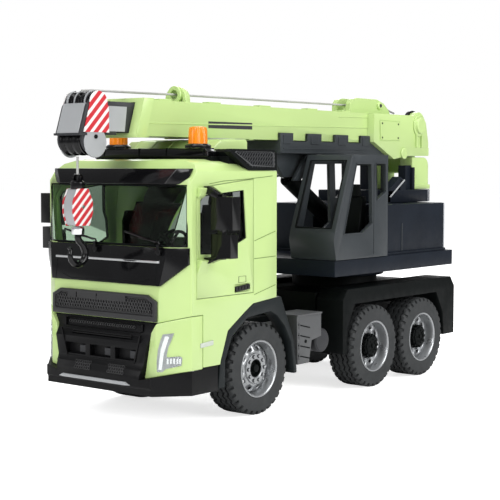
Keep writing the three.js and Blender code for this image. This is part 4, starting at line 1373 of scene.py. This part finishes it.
# %% Winch ears, caps, pivot bosses, rope guide and hump
guide_ring = turned("y", [(3.1, -15.6), (5.5, -15.6), (5.8, -15.2), (5.8, -8.6), (5.5, -8.2), (3.1, -8.2)],
                    (0, 206.9), 36)
hump_side = [(176, 201.3), (176.6, 209), (179.6, 212.4), (185, 213.5), (214, 213.5), (224, 210.6),
             (231, 205.6), (234, 201.3)]
hump_cheeks = both_sides(prism("x", hump_side, 4.4, 8.6))
piece("rope_guide_and_hump", joined(guide_ring, hump_cheeks), lime, "boom", 0.4)
cap_profile = [(0, 22.3), (8.6, 22.3), (8.6, 23.6), (6.6, 23.8), (6.4, 25.2), (5.8, 25.8), (0, 25.8)]
winch_cap = turned("x", cap_profile, (254.5, 193.5), 40)
ear_ribs = [block((22.3, 24.0), (y, y + 1.6), (176, 190)) for y in (249.5, 257.5)]
pivot_boss = turned("x", [(0, 22.3), (4.6, 22.3), (4.6, 23.4), (4, 23.8), (0, 23.8)], (232, 171), 32)
tail_lip = block((-22.6, 22.6), (268.6, 270.6), (169.6, 176))
tail_parts = joined(both_sides(joined(winch_cap, *ear_ribs, pivot_boss)), tail_lip)
piece("tail_caps_and_bosses", tail_parts, lime, "boom", 0.25)
boss_profile = [(0, 8.5), (3.2, 8.5), (3.2, 9.8), (2.6, 10.2), (0, 10.2)]
hump_boss = both_sides(turned("x", boss_profile, (217, 208.6), 28))
piece("rope_hump_boss", hump_boss, lime, "boom", 0.2)
hump_eye = both_sides(rod("x", (217, 208.6), 1.4, 10.0, 10.5, 20))
piece("rope_hump_pins", hump_eye, dark_grey, "boom")
print("tail parts", len(tail_parts[1]), "faces")

# %% [markdown]
# ## Cradle trim
# The cradle under the boom has two lines along it, a row of tabs and a gusset. They repeat along its
# length, so a list of places makes each row.

# %% Cradle lines, tabs and gussets
cradle_line = both_sides(joined(block((18.7, 19.4), (78, 186), (172.6, 173.4)),
                                block((18.7, 19.5), (76, 184), (169.9, 170.8))))
piece("cradle_lines", cradle_line, pale_slate, "boom", 0.15)
tab_row = [block((18.6, 19.6), (y, y + 9), (176.2, 182.6)) for y in (78, 111, 146, 178)]
cradle_tabs = both_sides(joined(*tab_row))
piece("cradle_tabs", cradle_tabs, pale_slate, "boom", 0.3)
rear_arm = prism("x", [(96, 150), (104, 150), (124, 164), (124, 169.4), (112, 169.4)], -15, -12.2)
piece("cradle_gussets", both_sides(rear_arm), pale_slate, "boom", 0.3)
print("boom dressed")

# %% [markdown]
# ## Crane head: pulleys
# The head carries two sets of pulleys. They are turned from one profile with a groove for each fall of
# rope, which is simpler than cutting grooves in a cylinder. Bright clips keep the rope on the top ones.


# %% Pulleys
def pulley(centre, radius, half, grooves):
    profile = [(2.2, -half), (radius, -half)]
    pitch = 2 * half / grooves
    for i in range(grooves):
        middle = -half + (i + 0.5) * pitch
        profile += [(radius, middle - pitch * 0.34), (radius - 1.6, middle - pitch * 0.12),
                    (radius - 1.6, middle + pitch * 0.12), (radius, middle + pitch * 0.34)]
    return turned("x", [*profile, (radius, half), (2.2, half)], centre, 48)


lower = piece("grooved_head_pulleys", pulley((-100, 175), 8.6, 8.8, 3), gloss_black, "head_sheave",
              0.15)
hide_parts("head_sheaves")
top = pulley((-95, 198), 7.0, 8.6, 3)
piece("top_pulley", top, gloss_black, "boom_extension", 0.15)
clip_arc = arc((-95, 198), 7.9, 95, 205, 10)
clip_back = list(reversed(arc((-95, 198), 7.2, 95, 205, 10)))
clip_spans = [(-8.6, -7.2), (-2.2, -1.4), (6.6, 7.6)]
clips = joined(*[prism("x", [*clip_arc, *clip_back], x0, x1) for x0, x1 in clip_spans])
piece("pulley_clips", clips, light_silver, "boom_extension", 0.1)
print("pulley clips", len(clip_spans))

# %% [markdown]
# ## Crane head: plates
# The head's front is a silver plate over a dark lip. A hazard plate covers each cheek, and a silver disc
# caps the lower pulleys. Separate plates let each have its own finish and its own round edge.

# %% Head plates
face_plate = prism("x", [(-110.4, 179.6), (-110, 179.4), (-104.1, 197.2), (-104.6, 197.6)], -9.3, 9.3)
top_plate = block((-9.3, 9.3), (-104.2, -101.5), (197, 197.8))
side_panel = prism("x", [(-86.0, 181.2), (-72.4, 181.2), (-70.4, 196.6), (-86.0, 196.6)], 9.6, 11.0)
piece("head_silver_plates", joined(face_plate, top_plate, both_sides(side_panel)), light_silver,
      "boom_extension", 0.15)
lip = block((-11.4, 11.4), (-110.8, -104.5), (178.4, 179.8))
piece("head_lip", lip, dark_grey, "boom_extension", 0.2)
cheek = [(-107.4, 180.4), (-102.6, 196), *arc((-95, 198), 7.4, 165, -5, 12), (-86.6, 196), (-86.4, 180.4)]
cheek_plates = both_sides(prism("x", cheek, 10.8, 11.6))
piece("head_hazard_plates", cheek_plates, hazard, "boom_extension", 0.15)
disc_profile = [(0, 10.2), (9.3, 10.2), (9.3, 11.0), (9.0, 11.3), (0, 11.3)]
disc_cap = both_sides(turned("x", disc_profile, (-97.6, 174.4), 44))
piece("head_disc_caps", disc_cap, light_silver, "boom_extension", 0.12)
disc_bolts = both_sides(rod("x", (-97.6, 177.8), 1.4, 11.2, 12.0, 6))
piece("head_disc_bolts", disc_bolts, matte_black, "boom_extension", 0.1)
print("head plates fitted")

# %% [markdown]
# ## Hook block
# The block is a silver casting between two striped plates, hung from a black clevis. One outline makes
# the casting and both plates, so that they cannot drift apart.

# %% Hook block
half_outline = [(-5.6, 124), (5.6, 124), (8.4, 132), (8.2, 139), (4.6, 146.5), (-4.6, 146.5), (-8.2, 139),
                (-8.4, 132)]
block_outline = [(HOOK_Y + u, z) for u, z in half_outline]
core = prism("x", frame_of(block_outline, 0.5), -3.9, 3.9)
core_piece = piece("hook_block_core", core, light_silver, "hook_block", 0.4)
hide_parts("hook_block")
plate_pair = both_sides(prism("x", block_outline, 3.9, 4.6))
piece("hook_block_plates", plate_pair, block_hazard, "hook_block", 0.15)
clevis = joined(
    turned("z", [(2.3, 146.2), (4.2, 146.2), (4.4, 147), (4.2, 150.4), (3.2, 151.4), (0, 151.4), (0, 149),
                 (2.3, 149)], (0, HOOK_Y), 32),
    both_sides(prism("x", [(HOOK_Y - 2.4, 150.6), (HOOK_Y + 2.4, 150.6), *arc((HOOK_Y, 153), 2.3, 0, 180, 8)],
                     1.3, 2.6)),
    rod("x", (HOOK_Y, 153), 1.1, -3.2, 3.2, 16),
)
piece("hook_clevis", clevis, gloss_black, "hook_block", 0.15)
side_bolts = both_sides(rod("x", (HOOK_Y, 135.5), 1.2, 4.5, 5.2, 6))
piece("hook_block_bolts", side_bolts, steel, "hook_block", 0.1)
print("hook block outline", len(block_outline), "corners")

# %% [markdown]
# ## Hook
# The hook is a tapered bar bent round: thick at the bottom, thin at the point. Sculpting would give a
# softer form, but a tube whose radius follows a curve keeps it clean. A bright collar joins it to the
# block.

# %% Hook
shank_top = [(0, HOOK_Y, 123.4), (0, HOOK_Y, 119), (0, HOOK_Y + 0.4, 115.4), (0, HOOK_Y + 3.6, 112.4)]
bow_centre = (HOOK_Y - 0.3, 106.8)
bow = [(0, y, z) for y, z in arc(bow_centre, 6.3, 25, -205, 16)]
hook_path = smooth_route([*shank_top, *bow, (0, HOOK_Y - 8.2, 111.6)], 0.8)


def hook_radius(step, angle):
    share = step / len(hook_path)
    belly = 2.3 * sin(pi * min(1, 0.22 + 0.72 * share)) ** 0.6
    return max(0.45, belly)


hook_shape = joined(tube(hook_path, hook_radius, 16), rod("z", (0, HOOK_Y), 1.6, 119, 131))
hook_piece = piece("forged_hook", hook_shape, gloss_black, "hook")
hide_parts("hook")
collar = turned("z", [(0, 118.8), (3.6, 118.8), (3.9, 119.6), (3.9, 122.6), (3.2, 123.6), (0, 123.6)],
                (0, HOOK_Y), 32)
piece("hook_collar", collar, chrome, "hook")
print("hook steps", len(hook_path))

# %% [markdown]
# ## Studio floor
# The toy stands on a white floor in a white room. A floor that is only lit shows a grey edge at the
# horizon, so this one also glows, for the camera's own rays only. It is stage, and no part of the truck.

# %% Floor
floor_material = moulded("studio_floor", (0.85, 0.85, 0.85), 0.7, 0.01, 0.0, 200, shine=0.1)
floor_shader = floor_material.node_tree.nodes["Principled BSDF"]
floor_shader.inputs["Emission Color"].default_value = (1, 1, 1, 1)
floor_rays = floor_material.node_tree.nodes.new("ShaderNodeLightPath")
floor_glow = floor_material.node_tree.nodes.new("ShaderNodeMath")
floor_glow.operation = "MULTIPLY"
floor_glow.inputs[1].default_value = 0.72
floor_material.node_tree.links.new(floor_rays.outputs["Is Camera Ray"], floor_glow.inputs[0])
floor_material.node_tree.links.new(floor_glow.outputs[0], floor_shader.inputs["Emission Strength"])
floor_mesh = bpy.data.meshes.new("studio_floor")
FLOOR = 6.0
floor_mesh.from_pydata([(-FLOOR, -FLOOR, 0), (FLOOR, -FLOOR, 0), (FLOOR, FLOOR, 0), (-FLOOR, FLOOR, 0)], [],
                       [(0, 1, 2, 3)])
floor_mesh.materials.append(floor_material)
floor = bpy.data.objects.new("studio_floor", floor_mesh)
bpy.context.scene.collection.objects.link(floor)
print("floor half width", FLOOR, "m")

# %% [markdown]
# ## Room light
# The background is white to the camera, while the light that it sheds on the toy is kept lower, to leave
# room for the soft boxes to shape it. One world strength could not do both, so a Light Path node chooses.
# Rays through the windows count as seen, or the glass would look dark.

# %% Room light
world = bpy.data.worlds.new("white_room")
bpy.context.scene.world = world
world.use_nodes = True
room = world.node_tree
seen = room.nodes["Background"]
seen.inputs["Color"].default_value = (1, 1, 1, 1)
seen.inputs["Strength"].default_value = 1.0
shed = room.nodes.new("ShaderNodeBackground")
shed.inputs["Color"].default_value = (0.98, 0.99, 1, 1)
shed.inputs["Strength"].default_value = 0.34
rays = room.nodes.new("ShaderNodeLightPath")
straight = room.nodes.new("ShaderNodeMath")
straight.operation = "MAXIMUM"
room.links.new(rays.outputs["Is Camera Ray"], straight.inputs[0])
room.links.new(rays.outputs["Is Transmission Ray"], straight.inputs[1])
choose = room.nodes.new("ShaderNodeMixShader")
room.links.new(straight.outputs[0], choose.inputs[0])
room.links.new(shed.outputs[0], choose.inputs[1])
room.links.new(seen.outputs[0], choose.inputs[2])
room.links.new(choose.outputs[0], room.nodes["World Output"].inputs["Surface"])
print("room light nodes", len(room.nodes))

# %% [markdown]
# ## Soft boxes
# Two big soft boxes stand to the left and above, and weaker ones fill the front and the rear, so the side
# is brighter than the face. Area lights are used because their shape shows in the gloss, as a real soft
# box does.


# %% Soft boxes
def soft_box(name, place, aim, size, power):
    data = bpy.data.lights.new(name, "AREA")
    data.shape = "RECTANGLE"
    data.size, data.size_y = size
    data.energy = power
    lamp = bpy.data.objects.new(name, data)
    lamp.location = place
    lamp.rotation_euler = (Vector(aim) - Vector(place)).to_track_quat("-Z", "Y").to_euler()
    bpy.context.scene.collection.objects.link(lamp)
    return lamp


soft_box("left_soft_box", (1.15, 0.1, 0.6), (0, 0, 0.09), (0.9, 0.8), 12.8)
soft_box("top_soft_box", (0.1, -0.1, 1.3), (0, 0, 0.05), (1.0, 1.0), 11)
soft_box("front_soft_box", (0.12, -1.2, 0.6), (0, -0.1, 0.09), (0.6, 0.6), 8)
soft_box("rear_soft_box", (-0.7, 0.9, 0.7), (0, 0, 0.1), (0.8, 0.6), 5)
bpy.context.scene.view_settings.view_transform = "Standard"
bpy.context.scene.view_settings.look = "None"
